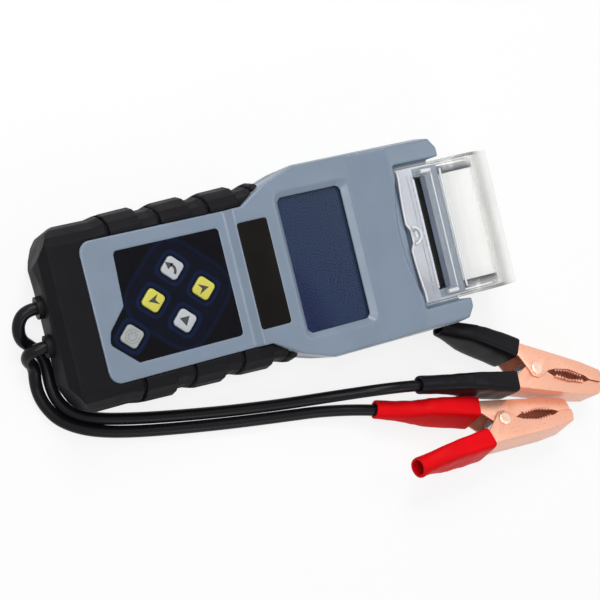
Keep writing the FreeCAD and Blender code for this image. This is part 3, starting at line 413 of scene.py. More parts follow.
@dataclass(frozen=True)
class LiquidCrystal:
    """Unlit blue display with painted light and shade: paler towards the top and the head, where the light
    falls, deepening to dark blue at the lower tail corner.
    """

    name: str
    low: Point
    high: Point

    def build(self) -> Material:
        """Make the material."""
        g = Graph(self.name)
        px, py, _ = g.axes()
        along = g.remap(px, self.low[0], self.high[0], 0.0, 1.0)
        up = g.remap(py, self.low[1], self.high[1], 0.0, 1.0)
        # Painted light: paler towards the top and the head.
        painted_light = g.math("ADD", g.math("MULTIPLY", along, 0.35), g.math("MULTIPLY", up, 0.65))
        top = g.mix(painted_light, (0.024, 0.048, 0.118), (0.048, 0.072, 0.116))
        # Painted shade: deep blue at the lower tail corner.
        corner = g.math("ADD", g.math("MULTIPLY", along, 1.3), up)
        base = g.mix(g.remap(corner, 0.05, 0.75, 1.0, 0.0), top, (0.007, 0.018, 0.085))
        cells = g.math("MULTIPLY", g.wave(1500.0, "X"), g.wave(1500.0, "Y"))
        g.set(Base_Color=g.mix(g.math("MULTIPLY", cells, 0.05), base, (0.05, 0.08, 0.16)),
              Normal=g.bump(g.noise(70.0, 2.0), 0.00002, 0.4), Roughness=0.16, Coat_Weight=0.2,
              Coat_Roughness=0.05, Specular_IOR_Level=0.12)
        return g.material


class Finishes(Enum):
    """Every finish on the tester."""

    HOUSING = Moulded("housing_plastic", (0.166, 0.215, 0.283), 0.34, 2400.0, 0.000028, 0.05)
    REAR = Moulded("rear_plastic", (0.150, 0.200, 0.272), 0.48, 2400.0, 0.00003, 0.05)
    BOOT = Moulded("boot_rubber", (0.0082, 0.0078, 0.0096), 0.50, 1700.0, 0.00004, 0.14, 0.0, 0.06)
    GROMMET = Moulded("grommet_rubber", (0.010, 0.0095, 0.011), 0.46, 1700.0, 0.00003, 0.12, 0.0, 0.11)
    SHEATH = Moulded("lead_sheath", (0.0062, 0.0060, 0.0078), 0.30, 1500.0, 0.00002, 0.12, 0.0, 0.13)
    KEY_GREY = Moulded("key_light_grey", (0.41, 0.435, 0.47), 0.38, 2600.0, 0.000015, 0.05)
    KEY_YELLOW = Moulded("key_yellow", (0.54, 0.50, 0.070), 0.38, 2600.0, 0.000015, 0.05)
    KEY_SILVER = Moulded("key_silver", (0.31, 0.33, 0.335), 0.34, 2600.0, 0.00002, 0.09)
    SYMBOL = Moulded("key_symbol_ink", (0.016, 0.014, 0.012), 0.5, 2600.0, 0.00001, 0.1)
    SYMBOL_GREY = Moulded("key_symbol_grey", (0.24, 0.25, 0.26), 0.5, 2600.0, 0.00001, 0.1)
    LABEL = Moulded("label_film", (0.0050, 0.0043, 0.0036), 0.36, 2600.0, 0.000012, 0.10, 0.0, 0.07)
    INNER = Moulded("inner_black_plastic", (0.02, 0.02, 0.022), 0.5, 2200.0, 0.00003, 0.1)
    BOARD = Moulded("circuit_board_mask", (0.012, 0.10, 0.035), 0.35, 900.0, 0.00003, 0.18, 0.2)
    ACETAL = Moulded("acetal_gear", (0.70, 0.70, 0.65), 0.42, 1800.0, 0.00002, 0.05)
    CERAMIC = Moulded("head_ceramic", (0.66, 0.63, 0.56), 0.35, 1800.0, 0.00001, 0.06)
    PLATEN = Moulded("platen_rubber", (0.02, 0.02, 0.022), 0.6, 1400.0, 0.00003, 0.12)
    CELL = Moulded("cell_label", (0.50, 0.26, 0.05), 0.3, 1500.0, 0.00001, 0.1, 0.3)
    CORE = Moulded("core_board", (0.36, 0.26, 0.16), 0.75, 900.0, 0.00006, 0.14)
    SLEEVE_RED = Moulded("sleeve_red_vinyl", (0.74, 0.005, 0.009), 0.42, 600.0, 0.00002, 0.08, 0.0, 0.03)
    SLEEVE_BLACK = Moulded("sleeve_black_vinyl", (0.0075, 0.0074, 0.0095), 0.34, 600.0, 0.00002, 0.12, 0.0,
                           0.08)
    COPPER = Metal("copper_plate", (0.84, 0.44, 0.31), (0.74, 0.31, 0.19), 0.34, (1.0, 3.0, 3.0), 0.0, 0.22,
                   0.62, 0.05)
    RIVET = Metal("rivet_plate", (0.90, 0.60, 0.46), (0.5, 0.32, 0.24), 0.3, EVEN, 0.00002, 0.25, 0.6)
    WIRE = Metal("spring_wire", (0.84, 0.84, 0.85), (0.4, 0.39, 0.38), 0.18, EVEN, 0.00001, 0.25, 0.75)
    STEEL = Metal("zinc_plate", (0.60, 0.61, 0.63), (0.35, 0.35, 0.34), 0.32)
    BLADE = Metal("tear_blade", (0.42, 0.44, 0.48), (0.2, 0.2, 0.22), 0.36, (14.0, 1.0, 14.0), 0.00002, 0.2,
                  0.5)
    SINK = Metal("head_sink", (0.70, 0.71, 0.72), (0.45, 0.45, 0.45), 0.36)
    BRASS = Metal("pinion_brass", (0.80, 0.60, 0.26), (0.42, 0.28, 0.1), 0.3)
    CONTACT = Metal("contact_nickel", (0.80, 0.79, 0.75), (0.5, 0.48, 0.42), 0.22)
    PAPER = Paper("thermal_paper", (0.93, 0.93, 0.91))
    # Clear cover with white glare painted over the paper roll.
    COVER = ClearPlastic("cover_clear", (0.997, 0.998, 1.0), (0.97, 0.97, 0.95), 0.012, 0.06, True)
    # Whitish clear finish that paints the highlight on the cover's front edge, thumb lift, lugs and outer
    # ribs.
    COVER_EDGE = ClearPlastic("cover_painted_highlight", (0.95, 0.97, 1.0), (0.93, 0.95, 0.98), 0.62, 0.08)
    COVER_RIB = ClearPlastic("cover_rib", (0.95, 0.97, 1.0), (0.72, 0.74, 0.80), 0.22, 0.10)
    COVER_SKIN = ClearPlastic("cover_flat_face", (0.95, 0.96, 1.0), (0.58, 0.60, 0.66), 0.40, 0.12)
    COVER_GUIDE = Moulded("slot_guide", (0.085, 0.105, 0.150), 0.4, 900.0, 0.00002, 0.1, 0.0, 0.3)
    # Dark slate strip that paints the shade in the gap along the front of the bay.
    SEAL = Moulded("bay_gap_painted_shade", (0.085, 0.105, 0.155), 0.8, 1500.0, 0.00006, 0.2, 0.0, 0.2)
    WINDOW = ClearPlastic("window_clear", (0.90, 0.93, 0.99), (0.012, 0.022, 0.060), 0.04)


PLAIN: dict[Finishes, tuple[str, ...]] = {
    Finishes.STEEL: ("printer_frame", "platen_shaft", "stepper_motor", "motor_shaft", "cover_hinge_pin",
                     "battery_door_screw", "housing_screws"),
    Finishes.ACETAL: ("platen_bushes", "platen_gear", "idler_gear"),
    Finishes.SINK: ("print_head_sink",),
    Finishes.CERAMIC: ("print_head",),
    Finishes.BRASS: ("motor_pinion",),
    Finishes.PLATEN: ("platen_roller",),
    Finishes.CORE: ("paper_core",),
    Finishes.PAPER: ("paper_roll", "paper_strip"),
    Finishes.INNER: ("key_switches", "display_header", "buzzer"),
    Finishes.BOARD: ("main_board",),
    Finishes.CELL: ("battery_cells",),
    Finishes.CONTACT: ("battery_contacts", "red_crimp", "black_crimp"),
    Finishes.GROMMET: ("lead_grommets",),
    Finishes.WINDOW: ("display_lens",),
}
_built: dict[str, Material] = {}


def dress(piece: Piece, finish: "Finishes | PrintedOverlay | LiquidCrystal") -> Piece:
    """Give a piece one finish on every face.

    Args:
        piece: The piece.
        finish: What it is finished in.

    Returns:
        The same piece.
    """
    recipe = finish.value if isinstance(finish, Finishes) else finish
    if recipe.name not in _built:
        _built[recipe.name] = recipe.build()
    piece.data.materials.clear()
    piece.data.materials.append(_built[recipe.name])
    return piece


# ---------------- mesh helpers
def add(name: str, data: bpy.types.ID) -> Piece:
    """Put a mesh, curve, lamp or camera in the scene."""
    piece = bpy.data.objects.new(name, data)
    bpy.context.scene.collection.objects.link(piece)
    return piece


def new_mesh(name: str, verts: Sequence[Vector], faces: Sequence[Sequence[int]]) -> Piece:
    """Make an object from points and faces, in the frame's own place.

    Args:
        name: The piece's name.
        verts: Its points.
        faces: Its faces as point numbers.

    Returns:
        The new object.
    """
    mesh = bpy.data.meshes.new(name)
    mesh.from_pydata([tuple(v) for v in verts], [], [tuple(f) for f in faces])
    mesh.update()
    return add(name, mesh)


def edit(piece: Piece, change: Callable[[bmesh.types.BMesh], None]) -> None:
    """Run one bmesh change on a piece and tidy its normals."""
    bm = bmesh.new()
    bm.from_mesh(piece.data)
    change(bm)
    bmesh.ops.recalc_face_normals(bm, faces=bm.faces)
    bm.to_mesh(piece.data)
    bm.free()


def smooth(piece: Piece, angle: float | None = None) -> Piece:
    """Shade a piece smoothly, with creases past an angle in degrees if one is given."""
    for face in piece.data.polygons:
        face.use_smooth = True
    if angle is not None:
        piece.data.set_sharp_from_angle(angle=math.radians(angle))
    return piece


def settle(piece: Piece) -> Piece:
    """Apply every modifier, so that the mesh holds the final shape."""
    bpy.context.view_layer.update()
    shape = bpy.data.meshes.new_from_object(piece.evaluated_get(bpy.context.evaluated_depsgraph_get()))
    piece.modifiers.clear()
    old = piece.data
    piece.data = shape
    bpy.data.meshes.remove(old)
    return piece


def copy_node(node: str, name: str) -> Piece:
    """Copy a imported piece's mesh, with its split corners joined again.

    Args:
        node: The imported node.
        name: Name of the copy.

    Returns:
        The copy.
    """
    piece = add(name, frame["nodes"][node].data.copy())
    for key in list(piece.data.attributes.keys()):
        if key.startswith("sharp"):
            piece.data.attributes.remove(piece.data.attributes[key])
    edit(piece, lambda bm: bmesh.ops.remove_doubles(bm, verts=bm.verts, dist=0.004 * MM))
    return piece


def mould(piece: Piece, cell: float, rounds: int, keep: float = 1.0) -> Piece:
    """Turn sharp edges into soft moulded ones.

    Args:
        piece: The piece.
        cell: Size of the new mesh's cells in millimetres.
        rounds: Passes of smoothing, more for rounder edges.
        keep: Share of the faces kept.

    Returns:
        The same piece.
    """
    remesh = piece.modifiers.new("cells", "REMESH")
    remesh.mode = "VOXEL"
    remesh.voxel_size = cell * MM
    remesh.use_smooth_shade = True
    soft = piece.modifiers.new("soft", "SMOOTH")
    soft.factor = 0.5
    soft.iterations = rounds
    if keep < 1.0:
        fewer = piece.modifiers.new("fewer", "DECIMATE")
        fewer.ratio = keep
    return smooth(settle(piece))


def bevel(piece: Piece, width: float, segments: int = 2, angle: float = 30.0) -> Piece:
    """Round a piece's sharp edges.

    Args:
        piece: The piece.
        width: Width of the rounding in millimetres.
        segments: Faces across it.
        angle: Edges sharper than this many degrees are rounded.

    Returns:
        The same piece.
    """
    edit(piece, lambda bm: bmesh.ops.dissolve_limit(bm, angle_limit=math.radians(1.0), verts=bm.verts,
                                                    edges=bm.edges))
    edge = piece.modifiers.new("edge", "BEVEL")
    edge.width = width * MM
    edge.segments = segments
    edge.limit_method = "ANGLE"
    edge.angle_limit = math.radians(angle)
    edge.use_clamp_overlap = True
    settle(piece)
    return smooth(piece, 40.0)


def loft(name: str, rings: Sequence[Ring], capped: bool = True) -> Piece:
    """Skin a row of closed rings with equal numbers of points."""
    count = len(rings[0])
    verts = [p for ring in rings for p in ring]
    faces = [(low + k, low + (k + 1) % count, low + count + (k + 1) % count, low + count + k)
             for low in range(0, (len(rings) - 1) * count, count) for k in range(count)]
    if capped:
        faces.append(tuple(reversed(range(count))))
        faces.append(tuple(range((len(rings) - 1) * count, len(rings) * count)))
    piece = new_mesh(name, verts, faces)
    edit(piece, lambda bm: None)
    return piece


def block(x0: float, x1: float, half: float) -> list[Flat]:
    """Plan of a strip across the tester, between two places along it."""
    return [(x0, -half), (x1, -half), (x1, half), (x0, half)]


def prism(name: str, outline: Sequence[Flat], low: float, high: float) -> Piece:
    """Raise a plan outline, in millimetres, between two heights."""
    rings = [[Vector((x, y, z)) * MM for x, y in outline] for z in (low, high)]
    return loft(name, rings)


def rod(name: str, path: Sequence[Iterable[float]], radius: float, fineness: int,
        curved: bool = False) -> Piece:
    """Round rod along a path, all in metres.

    Args:
        name: The piece's name.
        path: Its middle line.
        radius: Half of its thickness.
        fineness: Fineness of its round section.
        curved: Whether it bends smoothly past the points in between.

    Returns:
        The new curve.
    """
    data = bpy.data.curves.new(name, "CURVE")
    data.dimensions = "3D"
    line = data.splines.new("NURBS" if curved else "POLY")
    line.points.add(len(path) - 1)
    for point, place in zip(line.points, path):
        point.co = (*place, 1.0)
    if curved:
        line.order_u = 3
        line.use_endpoint_u = True
        line.resolution_u = 12
    data.bevel_depth = radius
    data.bevel_resolution = fineness
    data.use_fill_caps = True
    return add(name, data)


def stand_for(piece: Piece, finish: Finishes, body: str, slot: str, *nodes: str) -> Piece:
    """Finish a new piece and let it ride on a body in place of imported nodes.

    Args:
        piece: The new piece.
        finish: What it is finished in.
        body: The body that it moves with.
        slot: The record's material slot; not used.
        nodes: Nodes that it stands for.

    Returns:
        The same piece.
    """
    dress(piece, finish)
    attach(piece, body)
    if nodes:
        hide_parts(*nodes)
    LOG.info("%s: %d faces", piece.name, len(piece.data.polygons) if piece.type == "MESH" else 0)
    return piece


# ---------------- studio
@dataclass
class Studio:
    """Camera, soft lamps and a pale floor."""

    place: Point = (-0.2554, 0.0009, 0.6092)
    aim: Point = (0.0040, -0.0178, 0.0200)
    lit: Point = (0.02, -0.01, 0.02)
    roll: float = 80.05
    lens: float = 75.0
    paper_white: float = 1.0
    soft_light: float = 0.25
    floor_glow: float = 0.82

    def camera(self) -> None:
        """Set up the camera."""
        data = bpy.data.cameras.new("camera")
        data.lens = self.lens
        data.sensor_width = 36.0
        data.clip_start = 0.01
        camera = add("camera", data)
        camera.location = self.place
        look = (Vector(self.aim) - Vector(self.place)).normalized()
        facing = look.to_track_quat("-Z", "Y").to_matrix()
        camera.rotation_euler = (facing @ Matrix.Rotation(math.radians(self.roll), 3, "Z")).to_euler()
        bpy.context.scene.camera = camera

    def lamp(self, name: str, place: Point, size: float, power: float) -> None:
        """Hang one soft lamp that looks at the tester."""
        data = bpy.data.lights.new(name, "AREA")
        data.shape = "DISK"
        data.size = size
        data.energy = power
        lamp = add(name, data)
        lamp.location = place
        lamp.rotation_euler = (Vector(self.lit) - Vector(place)).to_track_quat("-Z", "Y").to_euler()

    def world(self) -> None:
        """Soft even surroundings that read as white behind the tester."""
        world = bpy.data.worlds.new("surroundings")
        bpy.context.scene.world = world
        world.use_nodes = True
        nodes = Nodes(world.node_tree)
        level = nodes.node("Mix")
        for place, value in ((0, nodes.background_rays()), (2, self.soft_light), (3, self.paper_white)):
            nodes.feed(level.inputs[place], value)
        light = nodes.node("Background", Color=(1.0, 1.0, 1.0), Strength=level.outputs[0])
        nodes.feed(nodes.node("OutputWorld").inputs["Surface"], light.outputs[0])

    def floor(self) -> None:
        """Lay the pale floor."""
        half, drop = 3.0, -0.0002
        corners = [Vector((x * half, y * half, drop)) for x, y in ((-1, -1), (1, -1), (1, 1), (-1, 1))]
        floor = new_mesh("floor", corners, [(0, 1, 2, 3)])
        g = Graph("floor_paper")
        g.set(Base_Color=(0.88, 0.88, 0.88), Roughness=0.9, Specular_IOR_Level=0.1)
        share = g.math("MULTIPLY", g.background_rays(), self.floor_glow)
        glow = g.node("Emission", Strength=self.paper_white)
        g.blend(share, g.shader.outputs[0], glow.outputs[0])
        floor.data.materials.append(g.material)

    def build(self) -> None:
        """Build the studio."""
        self.camera()
        self.world()
        self.floor()
        self.lamp("key_lamp", (0.02, 0.85, 1.05), 0.7, 10.0)
        self.lamp("top_lamp", (-0.42, 0.10, 1.15), 0.6, 5.0)
        self.lamp("side_lamp", (0.15, -0.95, 0.75), 0.5, 2.0)
        self.lamp("deck_lamp", (0.38, 0.02, 0.50), 0.16, 0.30)
        bpy.context.scene.view_settings.view_transform = "Standard"


# ---------------- leads
class Pole(Enum):
    """The two clamp leads."""

    RED = "red"
    BLACK = "black"


ROUTES: dict[Pole, list[Point]] = {
    Pole.RED: [
        (-0.1293, -0.0094, 0.0200), (-0.1358, -0.0094, 0.0200), (-0.1384, -0.0128, 0.0126),
        (-0.1340, -0.0174, 0.0064), (-0.1348, -0.0252, 0.0036), (-0.1345, -0.0318, 0.0032),
        (-0.1323, -0.0388, 0.0032), (-0.1276, -0.0462, 0.0032), (-0.1178, -0.0531, 0.0032),
        (-0.1043, -0.0583, 0.0032), (-0.0834, -0.0633, 0.0032), (-0.0486, -0.0698, 0.0032),
        (-0.0155, -0.0749, 0.0032), (0.0100, -0.0785, 0.0042), (0.0360, -0.0849, 0.00967),
        (0.05395, -0.09105, 0.01049),
    ],
    Pole.BLACK: [
        (-0.1293, 0.0094, 0.0200), (-0.1348, 0.0094, 0.0200), (-0.1390, 0.0040, 0.0172),
        (-0.1386, -0.0032, 0.0126), (-0.1336, -0.0076, 0.0080), (-0.1286, -0.0126, 0.0044),
        (-0.1276, -0.0205, 0.0032), (-0.1280, -0.0285, 0.0032), (-0.1268, -0.0358, 0.0032),
        (-0.1224, -0.0431, 0.0032), (-0.1126, -0.0490, 0.0032), (-0.0984, -0.0532, 0.0032),
        (-0.0780, -0.0578, 0.0032), (-0.0472, -0.0636, 0.0032), (-0.0190, -0.0680, 0.0032),
        (-0.0020, -0.0702, 0.0036), (0.0170, -0.0722, 0.0086), (0.0380, -0.0742, 0.0200),
        (0.05871, -0.0775, 0.02208), (0.07714, -0.08183, 0.02048),
    ],
}
LEAD_ACROSS = 0.0062


@dataclass
class Lead:
    """One round lead from its grommet to the crimp in its clamp."""

    pole: Pole

    def build(self) -> Piece:
        """Lay the lead along its route.

        Returns:
            The lead's curve.
        """
        node = "lead_" + self.pole.value
        lead = rod(node + "_sheath", ROUTES[self.pole], LEAD_ACROSS / 2, 8, curved=True)
        return stand_for(lead, Finishes.SHEATH, "tester", "lead_sheath", node)


# ---------------- housing and boot
@dataclass(frozen=True)
class Shell:
    """One moulded shell: how finely it is softened, and what it is made of."""

    node: str
    finish: Finishes
    slot: str
    cell: float
    rounds: int
    keep: float

    def build(self) -> None:
        """Soften the shell and dress it."""
        piece = mould(copy_node(self.node, self.node + "_moulding"), self.cell, self.rounds, self.keep)
        stand_for(piece, self.finish, "tester", self.slot, self.node)


SHELLS = (Shell("front_housing", Finishes.HOUSING, "housing", 0.6, 5, 0.35),
          Shell("rear_housing", Finishes.REAR, "rear_shell", 0.8, 3, 0.25),
          Shell("rubber_boot", Finishes.BOOT, "boot_rubber", 0.5, 3, 0.45),
          Shell("battery_door", Finishes.REAR, "rear_shell", 0.5, 3, 0.3))


# ---------------- keypad
def turned_square(x: float, y: float, side: float, radius: float, steps: int = 6) -> list[Flat]:
    """Outline of a rounded square that stands on its corner, in millimetres."""
    half = side / 2
    outline = []
    for corner in range(4):
        base = corner * math.pi / 2
        cx = (half - radius) * math.sqrt(2) * math.cos(base)
        cy = (half - radius) * math.sqrt(2) * math.sin(base)
        for i in range(steps + 1):
            angle = base - math.pi / 4 + math.pi / 2 * i / steps
            outline.append((x + cx + radius * math.cos(angle), y + cy + radius * math.sin(angle)))
    return outline


@dataclass
class Keypad:
    """Printed overlay and five keys with their symbols."""

    side: float = 9.4
    caps: dict[str, tuple[Finishes, str]] = field(default_factory=lambda: {
        "key_back": (Finishes.KEY_GREY, "key_grey"), "key_enter": (Finishes.KEY_GREY, "key_grey"),
        "key_down": (Finishes.KEY_YELLOW, "key_yellow"), "key_up": (Finishes.KEY_YELLOW, "key_yellow"),
        "key_power": (Finishes.KEY_SILVER, "key_silver")})

    def centre(self, node: str) -> tuple[float, float, float, float]:
        """Centre, base and top of a key, in millimetres."""
        low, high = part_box(node)
        return (low.x + high.x) / 2 / MM, (low.y + high.y) / 2 / MM, low.z / MM, high.z / MM

    def cap(self, node: str) -> None:
        """Make one crowned key cap with its flange."""
        x, y, low, top = self.centre(node)
        foot = ((1.7, 0.0), (2.0, 0.2), (2.0, 1.5), (1.7, 1.7), (0.0, 1.7))
        crown = ((0.0, -0.75), (-0.12, -0.45), (-0.5, -0.2), (-1.3, -0.06), (-3.4, 0.0), (-6.4, 0.01))
        rings = []
        for more, z in [(more, low + z) for more, z in foot] + [(more, top + z) for more, z in crown]:
            outline = turned_square(x, y, self.side + more, max(0.5, 2.0 + more * 0.22))
            rings.append([Vector((px, py, z)) * MM for px, py in outline])
        cap = loft(node + "_cap_moulding", rings)
        smooth(cap, 50.0)
        finish, slot = self.caps[node]
        stand_for(cap, finish, node + "_cap", slot, node)

    def symbol(self, node: str, name: str, outlines: Iterable[Sequence[Flat]],
               finish: Finishes = Finishes.SYMBOL) -> None:
        """Print a symbol on a key from outlines about the key's centre."""
        x, y, _, top = self.centre(node)
        verts: list[Vector] = []
        faces: list[tuple[int, ...]] = []
        for outline in outlines:
            count = len(outline)
            start = len(verts)
            for z in (top - 0.03, top + 0.03):
                verts += [Vector((x + px, y + py, z)) * MM for px, py in outline]
            faces.append(tuple(start + i for i in reversed(range(count))))
            faces.append(tuple(start + count + i for i in range(count)))
            faces += [(start + i, start + (i + 1) % count, start + count + (i + 1) % count, start + count + i)
                      for i in range(count)]
        ink = new_mesh(name, verts, faces)
        edit(ink, lambda bm: None)
        stand_for(ink, finish, node + "_cap", self.caps[node][1])

    def arrow(self, direction: float, size: float = 2.7) -> list[Flat]:
        """Arrow head with a notched tail, pointing along an angle in degrees."""
        base = [(size, 0.0), (-size, size * 0.95), (-size * 0.35, 0.0), (-size, -size * 0.95)]
        turn = math.radians(direction)
        return [(px * math.cos(turn) - py * math.sin(turn), px * math.sin(turn) + py * math.cos(turn))
                for px, py in base]

    def ring(self, radius: float, width: float, start: float, end: float) -> list[Flat]:
        """Arc band between two angles in degrees."""
        steps = 24
        angles = [math.radians(start + (end - start) * i / steps) for i in range(steps + 1)]
        wide, narrow = radius + width / 2, radius - width / 2
        return ([(wide * math.cos(a), wide * math.sin(a)) for a in angles]
                + [(narrow * math.cos(a), narrow * math.sin(a)) for a in reversed(angles)])

    def build(self) -> None:
        """Build the keypad."""
        places = [self.centre(node) for node in self.caps]
        four = [self.centre(node) for node in list(self.caps)[:4]]
        middle = (sum(p[0] for p in four) / 4 * MM, sum(p[1] for p in four) / 4 * MM)
        film = PrintedOverlay("keypad_film", tuple((p[0] * MM, p[1] * MM) for p in places), middle)
        dress(frame["nodes"]["keypad_overlay"], film)
        for node in self.caps:
            self.cap(node)
        self.symbol("key_down", "key_down_arrow", [self.arrow(180)])
        self.symbol("key_up", "key_up_arrow", [self.arrow(0)])
        self.symbol("key_enter", "key_enter_arrow", [[(-2.6, 1.7), (0.0, -2.8), (2.6, 1.7)]])
        bend = [(px - 1.9, py - 1.1) for px, py in self.ring(3.0, 1.35, -42, 66)]
        head = [(-1.3 + 2.4 * math.cos(a), 1.9 + 2.4 * math.sin(a)) for a in (2.35, 4.3, 6.3)]
        self.symbol("key_back", "key_back_arrow", [bend, head])
        stroke = [(-0.42, 0.7), (0.42, 0.7), (0.42, 3.0), (-0.42, 3.0)]
        rounds = [self.ring(2.0, 0.8, 115, 425), self.ring(3.4, 0.45, 20, 340)]
        self.symbol("key_power", "key_power_mark", rounds + [stroke], Finishes.SYMBOL_GREY)


# ---------------- display
@dataclass
class Display:
    """Blue display behind its window, and the dark plate beside it."""

    def build(self) -> None:
        """Build the display."""
        low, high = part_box("display_lens")
        glass = LiquidCrystal("display_crystal", tuple(low), tuple(high))
        dress(frame["nodes"]["display_module"], glass)
        plate = bevel(copy_node("label_plate", "label_plate_film"), 0.35, 3, 40.0)
        stand_for(plate, Finishes.LABEL, "tester", "label", "label_plate")


# ---------------- printer
@dataclass
class Printer:
    """Clear cover, paper and the mechanism that shows through it."""

    skin: float = 43.6

    def build(self) -> None:
        """Build the printer."""
        cover = mould(copy_node("printer_cover", "printer_cover_moulding"), 0.42, 3, 0.35)
        stand_for(cover, Finishes.COVER, "cover", "cover", "printer_cover")
        self.edge()
        self.ribs()
        self.blade()
        self.paint_bay_gap_shade()

    def bead(self, name: str, path: Iterable[Point], radius: float, finish: Finishes) -> None:
        """Round bead on the cover along a path in millimetres."""
        bead = rod(name, [tuple(c * MM for c in place) for place in path], radius * MM, 3)
        stand_for(bead, finish, "cover", "cover")

    def front_line(self, y: float) -> float:
        """Place of the cover's wavy front edge at one distance from the middle."""
        front, bow, half = 63.4, 1.8, 30.0
        notch_reach, notch_slope, notch_deep = 7.4, 4.6, 2.0
        radius = (half * half + bow * bow) / (2 * bow)
        edge = front
        if abs(y) < half:
            edge = front - bow + radius - math.sqrt(radius * radius - y * y)
        notch = min(1.0, max(0.0, (notch_reach - abs(y)) / notch_slope))
        return edge + notch_deep * notch * notch * (3.0 - 2.0 * notch)

    def edge(self) -> None:
        """Front edge bead and thumb lift, whitened to paint the highlight along them."""
        step, inset, height = 0.7, 0.35, 43.35
        path = [(self.front_line(y) + inset, y, height) for y in (step * i for i in range(-49, 50))]
        self.bead("cover_front_edge", path, 0.62, Finishes.COVER_EDGE)
        x, y, z, radius, parts = 64.6, 0.4, 43.75, 4.4, 30
        turns = [math.pi * (-0.52 + 1.04 * k / parts) for k in range(parts + 1)]
        lift = [(x + radius * math.cos(a), radius * math.sin(a) + y, z) for a in turns]
        self.bead("cover_thumb_lift", lift, 0.85, Finishes.COVER_EDGE)
        pad = [(66.2, y, 43.7) for y in (2.4, 1.6, 0.6, -0.6)]
        self.bead("cover_thumb_pad", pad, 0.8, Finishes.COVER_EDGE)

    def ribs(self) -> None:
        """Ribs along the cover, before and behind the slot."""
        # The two ribs by the roll and the lugs take the whitish finish that paints their highlight.
        ribs = ((68.7, 31.2, 0.3, Finishes.COVER_RIB), (70.9, 30.2, 0.35, Finishes.COVER_RIB),
                (83.2, 30.4, 0.38, Finishes.COVER_EDGE), (88.9, 31.6, 0.55, Finishes.COVER_EDGE))
        for i, (x, half, radius, finish) in enumerate(ribs):
            self.bead(f"cover_rib_{i}", [(x, -half, self.skin), (x, half, self.skin)], radius, finish)
        for name, y in (("right", -32.0), ("left", 32.0)):
            lug = [(x, y, self.skin + 0.05) for x in (77.0, 79.0, 81.0, 83.0)]
            self.bead("cover_lug_" + name, lug, 1.15, Finishes.COVER_EDGE)
        inset, step, back, half = 1.0, 1.02, 72.0, 34.7
        outline = [(self.front_line(y) + inset, y) for y in (step * i for i in range(-34, 35))]
        face = prism("cover_flat_face", outline + [(back, half), (back, -half)], 43.62, 43.68)
        stand_for(face, Finishes.COVER_SKIN, "cover", "cover")
        guide = prism("slot_guide", block(76.4, 79.3, 29.4), 42.9, 43.4)
        stand_for(guide, Finishes.COVER_GUIDE, "cover", "cover")

    def blade(self) -> None:
        """Tear blade whose toothed lip leans over the slot."""
        low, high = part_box("tear_bar")
        x0, x1, top, base = low.x / MM, high.x / MM, high.z / MM, low.z / MM
        half = high.y / MM
        teeth, root, tip, thick, sunk = 38, 0.1, 0.9, 0.55, 0.4
        pitch = 2 * half / teeth
        outline = [(x0, -half), (x0, half)]
        for i in range(teeth):
            y = half - i * pitch
            outline += [(x1 + root, y), (x1 + tip, y - pitch / 2)]
        outline.append((x1 + root, -half))
        lip = prism("tear_bar_lip", outline, top - thick, top)
        stem = prism("tear_bar_stem", block(x0, x1, half), base, top - sunk)
        stand_for(lip, Finishes.BLADE, "tester", "blade", "tear_bar")
        stand_for(stem, Finishes.BLADE, "tester", "blade")

    def paint_bay_gap_shade(self) -> None:
        """Dark strip along the front of the bay that paints the shade in the gap between housing and cover.
        """
        strip = prism("bay_gap_shade_strip", block(62.0, 63.1, 37.6), 40.42, 41.1)
        stand_for(strip, Finishes.SEAL, "tester", "boot_rubber")


# ---------------- clamps
@dataclass(frozen=True)
class Station:
    """One cross-section of a sleeve, in millimetres."""

    along: float
    out: float
    deep: float
    wide: float
    power: float


FREE_SHAPE = tuple(Station(*row) for row in (
    (13.6, 1.8, 5.7, 11.7, 7.0), (14.4, 1.9, 5.9, 11.9, 7.0), (24.0, 1.6, 5.7, 11.9, 6.5),
    (34.0, 1.0, 5.4, 11.7, 6.0), (41.0, 0.7, 5.2, 11.0, 5.0), (46.0, 0.3, 5.1, 9.4, 3.6),
    (50.0, 0.1, 5.1, 7.9, 2.8), (54.5, 0.0, 5.2, 6.7, 2.3), (57.6, 0.0, 5.5, 6.3, 2.1),
    (58.4, 0.0, 5.3, 6.1, 2.1)))
CORD_SHAPE = tuple(Station(*row) for row in (
    (13.6, 1.8, 5.7, 10.6, 7.0), (14.4, 1.9, 5.9, 10.8, 7.0), (24.0, 1.6, 5.7, 10.8, 6.5),
    (34.0, 1.0, 5.4, 10.6, 6.0), (41.0, 0.7, 5.2, 10.0, 5.0), (47.0, 0.3, 5.1, 8.4, 3.6),
    (54.0, 0.1, 5.0, 6.8, 2.8), (62.0, 0.0, 4.95, 5.7, 2.3), (71.6, 0.0, 4.95, 5.1, 2.1),
    (72.4, 0.0, 4.8, 4.95, 2.1)))


